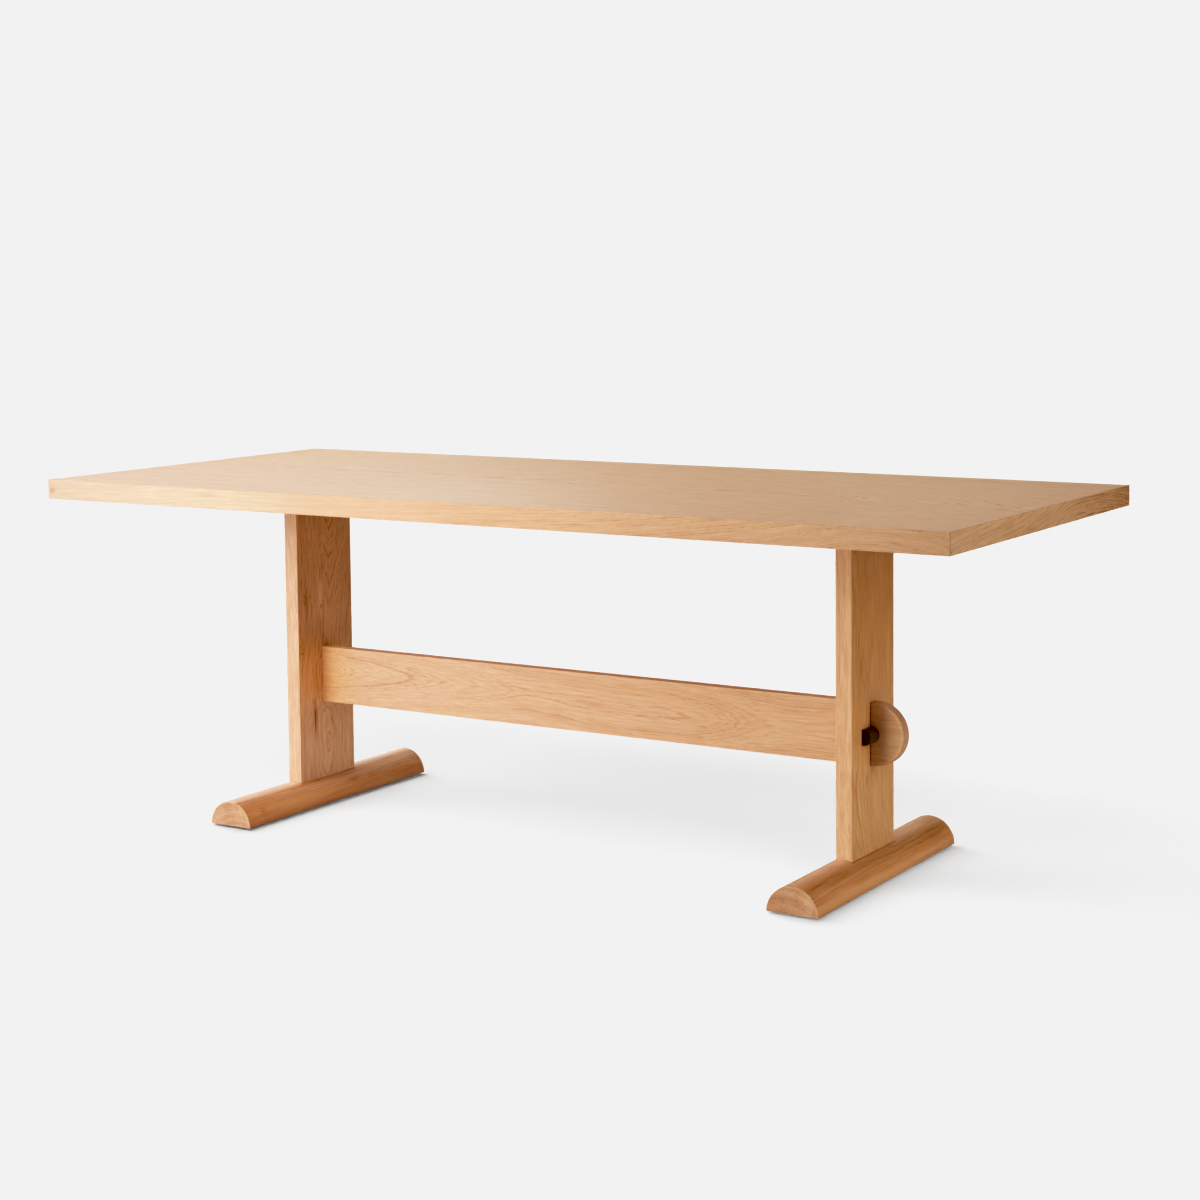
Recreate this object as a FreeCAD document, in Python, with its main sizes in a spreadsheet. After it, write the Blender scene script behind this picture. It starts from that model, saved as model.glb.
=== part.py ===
import FreeCAD, Part
import Sketcher
import math
import os
from FreeCAD import Vector, Placement, Rotation

# Trestle dining table, millimetres.
# Frame: +X along the top's length, +Y across its width, +Z up. The origin is
# on the floor under the middle of the table. Each trestle end is an upright
# board (post) standing in a half-round foot and carrying a bearer under the
# top. A stretcher runs through both posts and is held outside each of them by
# a half-round key.

doc = FreeCAD.newDocument("trestle_dining_table")

# ---------------------------------------------------------------- dimensions
# Driving dimensions. Cells hold plain numbers; every feature below is bound
# to them by expressions.
SIZES = [
    ("top_length", 2134.0, "length of the top along X"),
    ("top_width", 914.0, "width of the top along Y"),
    ("top_thick", 42.0, "finished thickness of the top"),
    ("table_height", 760.0, "floor to the top's upper face"),
    ("veneer_thick", 1.0, "face and back veneer"),
    ("lipping_width", 14.0, "solid edge lipping, measured inwards"),
    ("arris_radius", 1.0, "easing of exposed long edges"),
    ("post_centre", 688.0, "X of each post's middle plane"),
    ("post_thick", 35.0, "post along X"),
    ("post_width", 192.0, "post along Y"),
    ("post_sink", 38.0, "depth of the post in the foot"),
    ("stub_thick", 19.0, "stub tenon on the post's top, along X"),
    ("stub_width", 150.0, "stub tenon along Y"),
    ("stub_height", 20.0, "stub tenon along Z"),
    ("foot_length", 632.0, "foot along Y"),
    ("foot_radius", 55.0, "radius of the foot's round back"),
    ("foot_height", 53.5, "foot from its flat underside to the crown"),
    ("glide_height", 4.5, "nylon glide thickness"),
    ("glide_radius", 15.0, "nylon glide radius"),
    ("glide_centre", 262.0, "Y of each glide's middle"),
    ("nail_head_radius", 5.0, "glide nail head"),
    ("nail_head_height", 2.0, "glide nail head"),
    ("nail_radius", 1.25, "glide nail shank"),
    ("nail_length", 18.0, "glide nail shank above the glide"),
    ("bearer_length", 600.0, "bearer along Y"),
    ("bearer_width", 90.0, "bearer along X"),
    ("bearer_depth", 30.0, "bearer along Z at the post"),
    ("bearer_tip", 14.0, "bearer along Z at its ends"),
    ("bearer_taper", 100.0, "length of the taper at each end"),
    ("stretcher_height", 126.0, "stretcher along Z"),
    ("stretcher_thick", 28.0, "stretcher along Y"),
    ("stretcher_bottom", 230.0, "floor to the stretcher's lower edge"),
    ("tenon_straight", 9.0, "straight run of the tenon outside the post"),
    ("key_radius", 16.0, "radius of the key's round side"),
    ("key_straight", 4.0, "straight run of the key's section"),
    ("key_length", 104.0, "key along Y"),
    ("key_play", 0.3, "clearance round the key in its mortise"),
    ("key_relief", 2.5, "mortise run-in behind the post's outer face"),
    ("key_chamfer", 1.2, "chamfer on the key's ends"),
    ("bolt_row", 160.0, "Y of the bearer bolts"),
    ("bolt_offset", 22.0, "X of the bearer bolts from the post's plane"),
    ("bolt_radius", 4.0, "M8 bolt shank"),
    ("bolt_length", 35.0, "M8 bolt under its head"),
    ("bolt_head_radius", 6.5, "socket head"),
    ("bolt_head_height", 8.0, "socket head"),
    ("socket_radius", 3.46, "corner radius of the 6 mm hexagon socket"),
    ("socket_depth", 4.0, "hexagon socket"),
    ("bolt_hole_radius", 4.5, "clearance hole in the bearer"),
    ("counterbore_radius", 13.0, "counterbore under the bearer"),
    ("counterbore_depth", 12.0, "counterbore under the bearer"),
    ("washer_radius", 12.0, "washer outside"),
    ("washer_bore", 4.2, "washer hole radius"),
    ("washer_thick", 2.0, "washer"),
    ("insert_radius", 6.0, "threaded insert body"),
    ("insert_length", 20.0, "threaded insert, flange included"),
    ("insert_flange", 8.0, "threaded insert flange radius"),
    ("insert_bore", 4.05, "threaded insert bore radius"),
    ("insert_hole_depth", 22.0, "hole in the top for the insert"),
    ("fastener_gap", 0.05, "radial gap round hidden fasteners"),
    ("bscrew_row", 45.0, "Y of the bearer screws"),
    ("bscrew_radius", 3.0, "bearer screw"),
    ("bscrew_head", 6.0, "bearer screw head radius"),
    ("bscrew_length", 80.0, "bearer screw"),
    ("fscrew_row", 55.0, "Y of the foot screws"),
    ("fscrew_radius", 4.0, "foot screw"),
    ("fscrew_head", 7.5, "foot screw head radius"),
    ("fscrew_length", 90.0, "foot screw"),
    ("fscrew_recess", 3.0, "foot screw head below the foot's underside"),
]

sheet = doc.addObject("Spreadsheet::Sheet", "Dimensions")
for row, (alias, value, note) in enumerate(SIZES, start=1):
    sheet.set("A%d" % row, alias)
    sheet.set("B%d" % row, repr(value))
    sheet.set("C%d" % row, note)
    sheet.setAlias("B%d" % row, alias)
doc.recompute()


class Dim:
    """A length with both its number and the expression that gives it."""

    def __init__(self, value, text):
        self.value = float(value)
        self.text = text

    @staticmethod
    def of(other):
        return other if isinstance(other, Dim) else Dim(other, repr(float(other)))

    def _join(self, other, sign, value):
        return Dim(value, "(%s %s %s)" % (self.text, sign, Dim.of(other).text))

    def __add__(self, other):
        return self._join(other, "+", self.value + Dim.of(other).value)

    def __sub__(self, other):
        return self._join(other, "-", self.value - Dim.of(other).value)

    def __mul__(self, other):
        return self._join(other, "*", self.value * Dim.of(other).value)

    def __truediv__(self, other):
        return self._join(other, "/", self.value / Dim.of(other).value)

    def __neg__(self):
        return Dim(-self.value, "(-%s)" % self.text)


class Sizes:
    pass


S = Sizes()
for alias, value, note in SIZES:
    setattr(S, alias, Dim(sheet.get(alias), "Dimensions.%s" % alias))

# Levels derived from the driving dimensions.
top_under = S.table_height - S.top_thick
foot_base = S.glide_height
foot_crown = foot_base + S.foot_height
post_base = foot_crown - S.post_sink
bearer_base = top_under - S.bearer_depth
post_height = bearer_base + S.stub_height - post_base
post_outer = S.post_centre + S.post_thick / 2
stretcher_axis = S.stretcher_bottom + S.stretcher_height / 2
tenon_radius = S.stretcher_height / 2


# ------------------------------------------------------------------- helpers
def bind(obj, prop, dim):
    obj.setExpression(prop, Dim.of(dim).text)


def place(obj, x=None, y=None, z=None, turn=0.0):
    """Put a sub-part in the table's frame; turn is about +Z in degrees."""
    x, y, z = (Dim.of(v if v is not None else 0.0) for v in (x, y, z))
    obj.Placement = Placement(Vector(x.value, y.value, z.value), Rotation(Vector(0, 0, 1), turn))
    for axis, dim in (("x", x), ("y", y), ("z", z)):
        if "Dimensions" in dim.text:
            obj.setExpression(".Placement.Base.%s" % axis, dim.text)


def new_body(label):
    body = doc.addObject("PartDesign::Body", label)
    body.Label = label
    return body


def origin_part(body, role):
    for feature in body.Origin.OriginFeatures:
        if feature.Role == role:
            return feature
    raise ValueError(role)


def new_sketch(body, name, role, lift=None, shift_x=None, shift_y=None):
    """Sketch on one of the body's own origin planes, lifted along its normal."""
    sk = body.newObject("Sketcher::SketchObject", name)
    sk.AttachmentSupport = [(origin_part(body, role), "")]
    sk.MapMode = "FlatFace"
    for axis, dim in (("x", shift_x), ("y", shift_y), ("z", lift)):
        if dim is not None:
            sk.setExpression("AttachmentOffset.Base.%s" % axis, Dim.of(dim).text)
    return sk


def distance(sk, kind, first, second, dim, name):
    """Signed DistanceX or DistanceY between two sketch points."""
    dim = Dim.of(dim)
    if dim.value < 0:
        first, second, dim = second, first, -dim
    index = sk.addConstraint(Sketcher.Constraint(kind, first[0], first[1], second[0], second[1], dim.value))
    sk.renameConstraint(index, name)
    if "Dimensions" in dim.text:
        sk.setExpression("Constraints." + name, dim.text)


ORIGIN = (-1, 1)


def polygon(sk, points, tag):
    """Closed outline through (x, y) pairs of Dims, each corner dimensioned."""
    pts = [(Dim.of(x), Dim.of(y)) for x, y in points]
    start = sk.GeometryCount
    n = len(pts)
    for i in range(n):
        a, b = pts[i], pts[(i + 1) % n]
        sk.addGeometry(Part.LineSegment(Vector(a[0].value, a[1].value, 0), Vector(b[0].value, b[1].value, 0)), False)
    for i in range(n):
        sk.addConstraint(Sketcher.Constraint("Coincident", start + i, 2, start + (i + 1) % n, 1))
    for i in range(n):
        for kind, dim, axis in (("DistanceX", pts[i][0], "x"), ("DistanceY", pts[i][1], "y")):
            name = "%s_%d%s" % (tag, i, axis)
            if abs(dim.value) < 1e-9:
                # the corner lies on an axis of the sketch
                rail = -2 if axis == "x" else -1
                sk.addConstraint(Sketcher.Constraint("PointOnObject", start + i, 1, rail))
            else:
                distance(sk, kind, ORIGIN, (start + i, 1), dim, name)


def centred_rectangle(sk, width, height, tag):
    """Rectangle centred on the sketch origin."""
    width, height = Dim.of(width), Dim.of(height)
    w, h = width.value / 2, height.value / 2
    start = sk.GeometryCount
    corners = [(-w, -h), (w, -h), (w, h), (-w, h)]
    for i in range(4):
        a, b = corners[i], corners[(i + 1) % 4]
        sk.addGeometry(Part.LineSegment(Vector(a[0], a[1], 0), Vector(b[0], b[1], 0)), False)
    for i in range(4):
        sk.addConstraint(Sketcher.Constraint("Coincident", start + i, 2, start + (i + 1) % 4, 1))
    for i in (0, 2):
        sk.addConstraint(Sketcher.Constraint("Horizontal", start + i))
    for i in (1, 3):
        sk.addConstraint(Sketcher.Constraint("Vertical", start + i))
    sk.addConstraint(Sketcher.Constraint("Symmetric", start, 1, start + 2, 1, -1, 1))
    distance(sk, "DistanceX", (start, 1), (start, 2), width, tag + "_width")
    distance(sk, "DistanceY", (start + 1, 1), (start + 1, 2), height, tag + "_height")


def circle(sk, x, y, radius, tag):
    x, y, radius = Dim.of(x), Dim.of(y), Dim.of(radius)
    g = sk.addGeometry(Part.Circle(Vector(x.value, y.value, 0), Vector(0, 0, 1), radius.value), False)
    index = sk.addConstraint(Sketcher.Constraint("Radius", g, radius.value))
    sk.renameConstraint(index, tag + "_radius")
    sk.setExpression("Constraints.%s_radius" % tag, radius.text)
    for kind, dim, axis in (("DistanceX", x, "x"), ("DistanceY", y, "y")):
        if abs(dim.value) < 1e-9:
            sk.addConstraint(Sketcher.Constraint("PointOnObject", g, 3, -2 if axis == "x" else -1))
        else:
            distance(sk, kind, ORIGIN, (g, 3), dim, "%s_%s" % (tag, axis))


def half_round(sk, flat_x, straight, radius, mid_y, side, tag):
    """D section: flat at flat_x, two straight runs, then a half circle.

    side is +1 when the round points to +X of the sketch, -1 when to -X.
    """
    flat_x, straight, radius, mid_y = (Dim.of(v) for v in (flat_x, straight, radius, mid_y))
    fx, st, r, my = flat_x.value, straight.value * side, radius.value, mid_y.value
    start = sk.GeometryCount
    lo, hi = my - r, my + r
    sk.addGeometry(Part.LineSegment(Vector(fx, hi, 0), Vector(fx, lo, 0)), False)
    sk.addGeometry(Part.LineSegment(Vector(fx, lo, 0), Vector(fx + st, lo, 0)), False)
    centre = Vector(fx + st, my, 0)
    around = Part.Circle(centre, Vector(0, 0, 1), r)
    if side > 0:
        sk.addGeometry(Part.ArcOfCircle(around, -math.pi / 2, math.pi / 2), False)
        low_end, high_end = 1, 2
    else:
        sk.addGeometry(Part.ArcOfCircle(around, math.pi / 2, 3 * math.pi / 2), False)
        low_end, high_end = 2, 1
    sk.addGeometry(Part.LineSegment(Vector(fx + st, hi, 0), Vector(fx, hi, 0)), False)
    flat, low, arc, high = start, start + 1, start + 2, start + 3
    add = sk.addConstraint
    add(Sketcher.Constraint("Coincident", flat, 2, low, 1))
    add(Sketcher.Constraint("Tangent", low, 2, arc, low_end))
    add(Sketcher.Constraint("Tangent", arc, high_end, high, 1))
    add(Sketcher.Constraint("Coincident", high, 2, flat, 1))
    add(Sketcher.Constraint("Vertical", flat))
    add(Sketcher.Constraint("Horizontal", low))
    add(Sketcher.Constraint("Horizontal", high))
    index = add(Sketcher.Constraint("Radius", arc, r))
    sk.renameConstraint(index, tag + "_radius")
    sk.setExpression("Constraints.%s_radius" % tag, radius.text)
    distance(sk, "DistanceX", (flat, 2), (low, 2), straight * side, tag + "_straight")
    if abs(fx) < 1e-9:
        add(Sketcher.Constraint("PointOnObject", flat, 1, -2))
    else:
        distance(sk, "DistanceX", ORIGIN, (flat, 2), flat_x, tag + "_flat")
    if abs(my) < 1e-9:
        add(Sketcher.Constraint("PointOnObject", arc, 3, -1))
    else:
        distance(sk, "DistanceY", ORIGIN, (arc, 3), mid_y, tag + "_middle")


def pad(body, sk, length, name, both_ways=False):
    feature = body.newObject("PartDesign::Pad", name)
    feature.Profile = sk
    feature.Length = Dim.of(length).value
    bind(feature, "Length", length)
    feature.Midplane = both_ways
    sk.Visibility = False
    return feature


def pocket(body, sk, name, depth=None, up=False, both_ways=False):
    """Cut with a sketch. up cuts along the sketch's normal; no depth cuts through."""
    before = body.Shape.Volume if not body.Shape.isNull() else None
    feature = body.newObject("PartDesign::Pocket", name)
    feature.Profile = sk
    if depth is None:
        feature.Type = "ThroughAll"
    else:
        feature.Type = "Length"
        feature.Length = Dim.of(depth).value
        bind(feature, "Length", depth)
    feature.Reversed = up
    feature.Midplane = both_ways
    doc.recompute()
    if before is not None and not body.Shape.Volume < before - 1e-3:
        raise RuntimeError("%s removed nothing" % name)
    return feature


def revolve(body, sk, name):
    feature = body.newObject("PartDesign::Revolution", name)
    feature.Profile = sk
    feature.ReferenceAxis = (sk, ["V_Axis"])
    feature.Angle = 360.0
    return feature


def repeat(body, feature, name, step=None, sides=("YZ_Plane", "XZ_Plane")):
    """Repeat a feature along X once by step, then mirror it in the given planes."""
    multi = body.newObject("PartDesign::MultiTransform", name)
    multi.Originals = [feature]
    parts = []
    if step is not None:
        row = body.newObject("PartDesign::LinearPattern", name + "_row")
        row.Direction = (origin_part(body, "X_Axis"), [""])
        row.Length = Dim.of(step).value
        bind(row, "Length", step)
        row.Occurrences = 2
        parts.append(row)
    for side in sides:
        mirror = body.newObject("PartDesign::Mirrored", "%s_%s" % (name, side[:2].lower()))
        mirror.MirrorPlane = (origin_part(body, side), [""])
        parts.append(mirror)
    multi.Transformations = parts
    body.Tip = multi
    doc.recompute()
    return multi


def edges_where(shape, test):
    """Names of the edges whose two ends and middle all pass a test."""
    names = []
    for i, edge in enumerate(shape.Edges, start=1):
        first, last = edge.ParameterRange
        pts = [edge.valueAt(first), edge.valueAt((first + last) / 2), edge.valueAt(last)]
        if all(test(p) for p in pts):
            names.append("Edge%d" % i)
    return names


def ease(body, feature, names, size, name, kind="Fillet"):
    doc.recompute()
    out = body.newObject("PartDesign::" + kind, name)
    out.Base = (feature, names)
    prop = "Radius" if kind == "Fillet" else "Size"
    setattr(out, prop, Dim.of(size).value)
    bind(out, prop, size)
    doc.recompute()
    return out


NODES = []


def keep(obj):
    NODES.append(obj)
    return obj


# ------------------------------------------------------------------- the top
core_thick = S.top_thick - S.veneer_thick * 2
left_row = S.post_centre - S.bolt_offset
right_row = S.post_centre + S.bolt_offset


def four_holes(body, radius, name, depth=None, up=True):
    """Two holes over each bearer's near row, mirrored to all eight places."""
    sk = new_sketch(body, name + "_sketch", "XY_Plane")
    circle(sk, left_row, S.bolt_row, radius, "inner")
    circle(sk, right_row, S.bolt_row, radius, "outer")
    cut = pocket(body, sk, name, depth=depth, up=up)
    repeat(body, cut, name + "_all")


# Panel core inside the lippings, bored from below for the threaded inserts.
body = new_body("top_core")
sk = new_sketch(body, "top_core_outline", "XY_Plane")
centred_rectangle(sk, S.top_length - S.lipping_width * 2, S.top_width - S.lipping_width * 2, "core")
pad(body, sk, core_thick, "top_core_pad")
doc.recompute()
four_holes(body, S.insert_radius + S.fastener_gap, "insert_holes", depth=S.insert_hole_depth - S.veneer_thick)
place(body, z=top_under + S.veneer_thick)
keep(body)

# Face veneer, running over core and lippings to the edge, with an eased arris.
body = new_body("top_face_veneer")
sk = new_sketch(body, "face_outline", "XY_Plane")
centred_rectangle(sk, S.top_length, S.top_width, "face")
face = pad(body, sk, S.veneer_thick, "face_pad")
doc.recompute()
rim = edges_where(body.Shape, lambda p: abs(p.z - S.veneer_thick.value) < 1e-6)
ease(body, face, rim, S.arris_radius * 0.6, "face_arris", "Chamfer")
place(body, z=S.table_height - S.veneer_thick)
keep(body)

# Back veneer, bored for the insert flanges.
body = new_body("top_back_veneer")
sk = new_sketch(body, "back_outline", "XY_Plane")
centred_rectangle(sk, S.top_length, S.top_width, "back")
pad(body, sk, S.veneer_thick, "back_pad")
doc.recompute()
four_holes(body, S.insert_flange + S.fastener_gap, "flange_holes")
place(body, z=top_under)
keep(body)


def lipping(label, length, x, y, turn):
    """Solid edge strip, mitred at both ends; local +Y points inwards."""
    body = new_body(label)
    sk = new_sketch(body, label + "_outline", "XY_Plane")
    half = length / 2
    polygon(sk, [(-half, 0), (half, 0), (half - S.lipping_width, S.lipping_width),
                 (-(half - S.lipping_width), S.lipping_width)], "mitre")
    pad(body, sk, core_thick, label + "_pad")
    place(body, x=x, y=y, z=top_under + S.veneer_thick, turn=turn)
    return keep(body)


lipping("lipping_front", S.top_length, None, -(S.top_width / 2), 0)
lipping("lipping_back", S.top_length, None, S.top_width / 2, 180)
lipping("lipping_left", S.top_width, -(S.top_length / 2), None, -90)
lipping("lipping_right", S.top_width, S.top_length / 2, None, 90)


# ------------------------------------------------------------- trestle posts
def post(label, x):
    """Upright board with a stub tenon on top and a through mortise."""
    body = new_body(label)
    sk = new_sketch(body, label + "_section", "XY_Plane")
    centred_rectangle(sk, S.post_thick, S.post_width, "post")
    board = pad(body, sk, post_height, label + "_board")
    doc.recompute()
    # long corners eased
    half_x, half_y = S.post_thick.value / 2, S.post_width.value / 2
    corners = edges_where(body.Shape, lambda p: abs(abs(p.x) - half_x) < 1e-6 and abs(abs(p.y) - half_y) < 1e-6)
    ease(body, board, corners, S.arris_radius, label + "_arris")
    # shoulders round the stub tenon
    sk = new_sketch(body, label + "_shoulder", "XY_Plane", lift=post_height - S.stub_height)
    centred_rectangle(sk, S.post_thick + 10, S.post_width + 10, "waste")
    centred_rectangle(sk, S.stub_thick, S.stub_width, "stub")
    pocket(body, sk, label + "_stub", up=True)
    # through mortise for the stretcher, at its full section
    sk = new_sketch(body, label + "_mortise", "YZ_Plane", shift_y=stretcher_axis - post_base)
    centred_rectangle(sk, S.stretcher_thick, S.stretcher_height, "mortise")
    pocket(body, sk, label + "_through", both_ways=True)
    # pilot holes for the foot screws, from below, and the bearer screws, from above
    sk = new_sketch(body, label + "_foot_pilots", "XY_Plane")
    circle(sk, 0, S.fscrew_row, S.fscrew_radius + S.fastener_gap, "back")
    circle(sk, 0, -S.fscrew_row, S.fscrew_radius + S.fastener_gap, "front")
    pocket(body, sk, label + "_foot_bore", depth=fscrew_tip - post_base + 2, up=True)
    sk = new_sketch(body, label + "_bearer_pilots", "XY_Plane", lift=post_height)
    circle(sk, 0, S.bscrew_row, S.bscrew_radius + S.fastener_gap, "back")
    circle(sk, 0, -S.bscrew_row, S.bscrew_radius + S.fastener_gap, "front")
    pocket(body, sk, label + "_bearer_bore", depth=post_base + post_height - bscrew_tip + 2)
    place(body, x=x, z=post_base)
    return keep(body)


fscrew_tip = foot_base + S.fscrew_recess + S.fscrew_length
bscrew_tip = top_under - S.bscrew_length

post("left_post", -S.post_centre)
post("right_post", S.post_centre)


# ---------------------------------------------------------------------- feet
def foot(label, x):
    """Half-round foot, flat side down, housed for the post's full section."""
    body = new_body(label)
    sk = new_sketch(body, label + "_section", "XZ_Plane")
    r = S.foot_radius
    drop = S.foot_radius - S.foot_height
    chord = math.sqrt(r.value ** 2 - drop.value ** 2)
    angle = math.asin(drop.value / r.value)
    base = sk.addGeometry(Part.LineSegment(Vector(-chord, 0, 0), Vector(chord, 0, 0)), False)
    arc = sk.addGeometry(Part.ArcOfCircle(Part.Circle(Vector(0, -drop.value, 0), Vector(0, 0, 1), r.value),
                                          angle, math.pi - angle), False)
    sk.addConstraint(Sketcher.Constraint("Coincident", base, 2, arc, 1))
    sk.addConstraint(Sketcher.Constraint("Coincident", arc, 2, base, 1))
    sk.addConstraint(Sketcher.Constraint("PointOnObject", base, 1, -1))
    sk.addConstraint(Sketcher.Constraint("PointOnObject", base, 2, -1))
    sk.addConstraint(Sketcher.Constraint("PointOnObject", arc, 3, -2))
    index = sk.addConstraint(Sketcher.Constraint("Radius", arc, r.value))
    sk.renameConstraint(index, "round")
    sk.setExpression("Constraints.round", r.text)
    distance(sk, "DistanceY", (arc, 3), ORIGIN, drop, "drop")
    bar = pad(body, sk, S.foot_length, label + "_bar", both_ways=True)
    doc.recompute()
    half = S.foot_length.value / 2
    ends = edges_where(body.Shape, lambda p: abs(abs(p.y) - half) < 1e-6)
    ends = [n for n in ends if body.Shape.getElement(n).BoundBox.ZMax > 1.0]
    ease(body, bar, ends, S.arris_radius * 1.5, label + "_arris")
    # housing for the post, sunk from the crown
    sk = new_sketch(body, label + "_housing", "XY_Plane", lift=S.foot_height - S.post_sink)
    centred_rectangle(sk, S.post_thick, S.post_width, "housing")
    pocket(body, sk, label + "_socket", up=True)
    # screw holes and their head recesses, from the flat underside
    sk = new_sketch(body, label + "_screw_holes", "XY_Plane")
    circle(sk, 0, S.fscrew_row, S.fscrew_radius + S.fastener_gap * 4, "back")
    circle(sk, 0, -S.fscrew_row, S.fscrew_radius + S.fastener_gap * 4, "front")
    pocket(body, sk, label + "_screw_bore", up=True, depth=S.foot_height - S.post_sink)
    sk = new_sketch(body, label + "_head_recess", "XY_Plane")
    circle(sk, 0, S.fscrew_row, S.fscrew_head + 0.3, "back")
    circle(sk, 0, -S.fscrew_row, S.fscrew_head + 0.3, "front")
    pocket(body, sk, label + "_head_bore", up=True, depth=S.fscrew_recess + head_rise(S.fscrew_head, S.fscrew_radius))
    # nail holes over the glides
    sk = new_sketch(body, label + "_nail_holes", "XY_Plane")
    circle(sk, 0, S.glide_centre, S.nail_radius + S.fastener_gap, "back")
    circle(sk, 0, -S.glide_centre, S.nail_radius + S.fastener_gap, "front")
    pocket(body, sk, label + "_nail_bore", up=True, depth=S.nail_length + 1)
    place(body, x=x, z=foot_base)
    return keep(body)


def head_rise(head, shank):
    """Thickness of a wood screw's flat-seated head."""
    return head - shank


foot("left_foot", -S.post_centre)
foot("right_foot", S.post_centre)


# ------------------------------------------------------------------- bearers
def bearer(label, x):
    """Cross batten between post and top, thinner towards its ends."""
    body = new_body(label)
    sk = new_sketch(body, label + "_profile", "YZ_Plane")
    half = S.bearer_length / 2
    flat = half - S.bearer_taper
    tip = S.bearer_depth - S.bearer_tip
    polygon(sk, [(-flat, 0), (flat, 0), (half, tip), (half, S.bearer_depth),
                 (-half, S.bearer_depth), (-half, tip)], "side")
    batten = pad(body, sk, S.bearer_width, label + "_batten", both_ways=True)
    doc.recompute()
    wide = S.bearer_width.value / 2
    low = edges_where(body.Shape, lambda p: abs(abs(p.x) - wide) < 1e-6 and p.z < S.bearer_depth.value - 1)
    ease(body, batten, low, S.arris_radius, label + "_arris")
    # mortise for the post's stub tenon, from below
    sk = new_sketch(body, label + "_mortise", "XY_Plane")
    centred_rectangle(sk, S.stub_thick, S.stub_width, "mortise")
    pocket(body, sk, label + "_socket", up=True, depth=S.stub_height)
    # counterbored bolt holes, from below
    sk = new_sketch(body, label + "_bolt_points", "XY_Plane")
    for sx in (-1, 1):
        for sy in (-1, 1):
            circle(sk, S.bolt_offset * sx, S.bolt_row * sy, S.bolt_hole_radius, "bolt_%d%d" % (sx + 1, sy + 1))
    doc.recompute()
    before = body.Shape.Volume
    hole = body.newObject("PartDesign::Hole", label + "_bolt_holes")
    hole.Profile = sk
    hole.Reversed = True
    hole.ThreadType = "None"
    hole.Diameter = S.bolt_hole_radius.value * 2
    bind(hole, "Diameter", S.bolt_hole_radius * 2)
    hole.DepthType = "ThroughAll"
    hole.HoleCutType = "Counterbore"
    hole.HoleCutDiameter = S.counterbore_radius.value * 2
    bind(hole, "HoleCutDiameter", S.counterbore_radius * 2)
    hole.HoleCutDepth = S.counterbore_depth.value
    bind(hole, "HoleCutDepth", S.counterbore_depth)
    doc.recompute()
    wanted = 4 * math.pi * (S.counterbore_radius.value ** 2 * S.counterbore_depth.value
                            + S.bolt_hole_radius.value ** 2 * (S.bearer_depth - S.counterbore_depth).value)
    if abs(before - body.Shape.Volume - wanted) > 1.0:
        raise RuntimeError("%s bolt holes removed %.1f, not %.1f" % (label, before - body.Shape.Volume, wanted))
    # screw holes into the post and seats for their heads, from above
    sk = new_sketch(body, label + "_screw_points", "XY_Plane", lift=S.bearer_depth)
    circle(sk, 0, S.bscrew_row, S.bscrew_radius + S.fastener_gap * 4, "back")
    circle(sk, 0, -S.bscrew_row, S.bscrew_radius + S.fastener_gap * 4, "front")
    pocket(body, sk, label + "_screw_bore", depth=S.bearer_depth - S.stub_height)
    sk = new_sketch(body, label + "_head_points", "XY_Plane", lift=S.bearer_depth)
    circle(sk, 0, S.bscrew_row, S.bscrew_head + 0.3, "back")
    circle(sk, 0, -S.bscrew_row, S.bscrew_head + 0.3, "front")
    pocket(body, sk, label + "_head_bore", depth=head_rise(S.bscrew_head, S.bscrew_radius))
    place(body, x=x, z=bearer_base)
    return keep(body)


bearer("left_bearer", -S.post_centre)
bearer("right_bearer", S.post_centre)

# ----------------------------------------------------------------- stretcher
# One board through both posts, ending outside each in a half-round tenon.
body = new_body("stretcher")
sk = new_sketch(body, "stretcher_outline", "XZ_Plane")
reach = post_outer + S.tenon_straight
r = tenon_radius
c = reach.value
lo = sk.addGeometry(Part.LineSegment(Vector(-c, -r.value, 0), Vector(c, -r.value, 0)), False)
ra = sk.addGeometry(Part.ArcOfCircle(Part.Circle(Vector(c, 0, 0), Vector(0, 0, 1), r.value),
                                     -math.pi / 2, math.pi / 2), False)
hi = sk.addGeometry(Part.LineSegment(Vector(c, r.value, 0), Vector(-c, r.value, 0)), False)
la = sk.addGeometry(Part.ArcOfCircle(Part.Circle(Vector(-c, 0, 0), Vector(0, 0, 1), r.value),
                                     math.pi / 2, 3 * math.pi / 2), False)
for first, second in (((lo, 2), (ra, 1)), ((ra, 2), (hi, 1)), ((hi, 2), (la, 1)), ((la, 2), (lo, 1))):
    sk.addConstraint(Sketcher.Constraint("Tangent", first[0], first[1], second[0], second[1]))
sk.addConstraint(Sketcher.Constraint("Symmetric", lo, 1, hi, 1, -1, 1))
sk.addConstraint(Sketcher.Constraint("Horizontal", lo))
distance(sk, "DistanceX", (lo, 1), (lo, 2), reach * 2, "straight_length")
distance(sk, "DistanceY", (lo, 2), (hi, 1), S.stretcher_height, "board_height")
pad(body, sk, S.stretcher_thick, "stretcher_board", both_ways=True)
doc.recompute()
# Half-round mortise for the key. Its flat side starts a little behind the
# post's outer face, so that the key bears on the post and not on the tenon.
sk = new_sketch(body, "key_mortise", "XZ_Plane")
half_round(sk, post_outer - S.key_relief, S.key_straight + S.key_relief, S.key_radius + S.key_play, 0, 1, "right")
half_round(sk, -(post_outer - S.key_relief), S.key_straight + S.key_relief, S.key_radius + S.key_play, 0, -1, "left")
pocket(body, sk, "key_mortises", both_ways=True)
place(body, z=stretcher_axis)
keep(body)


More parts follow.
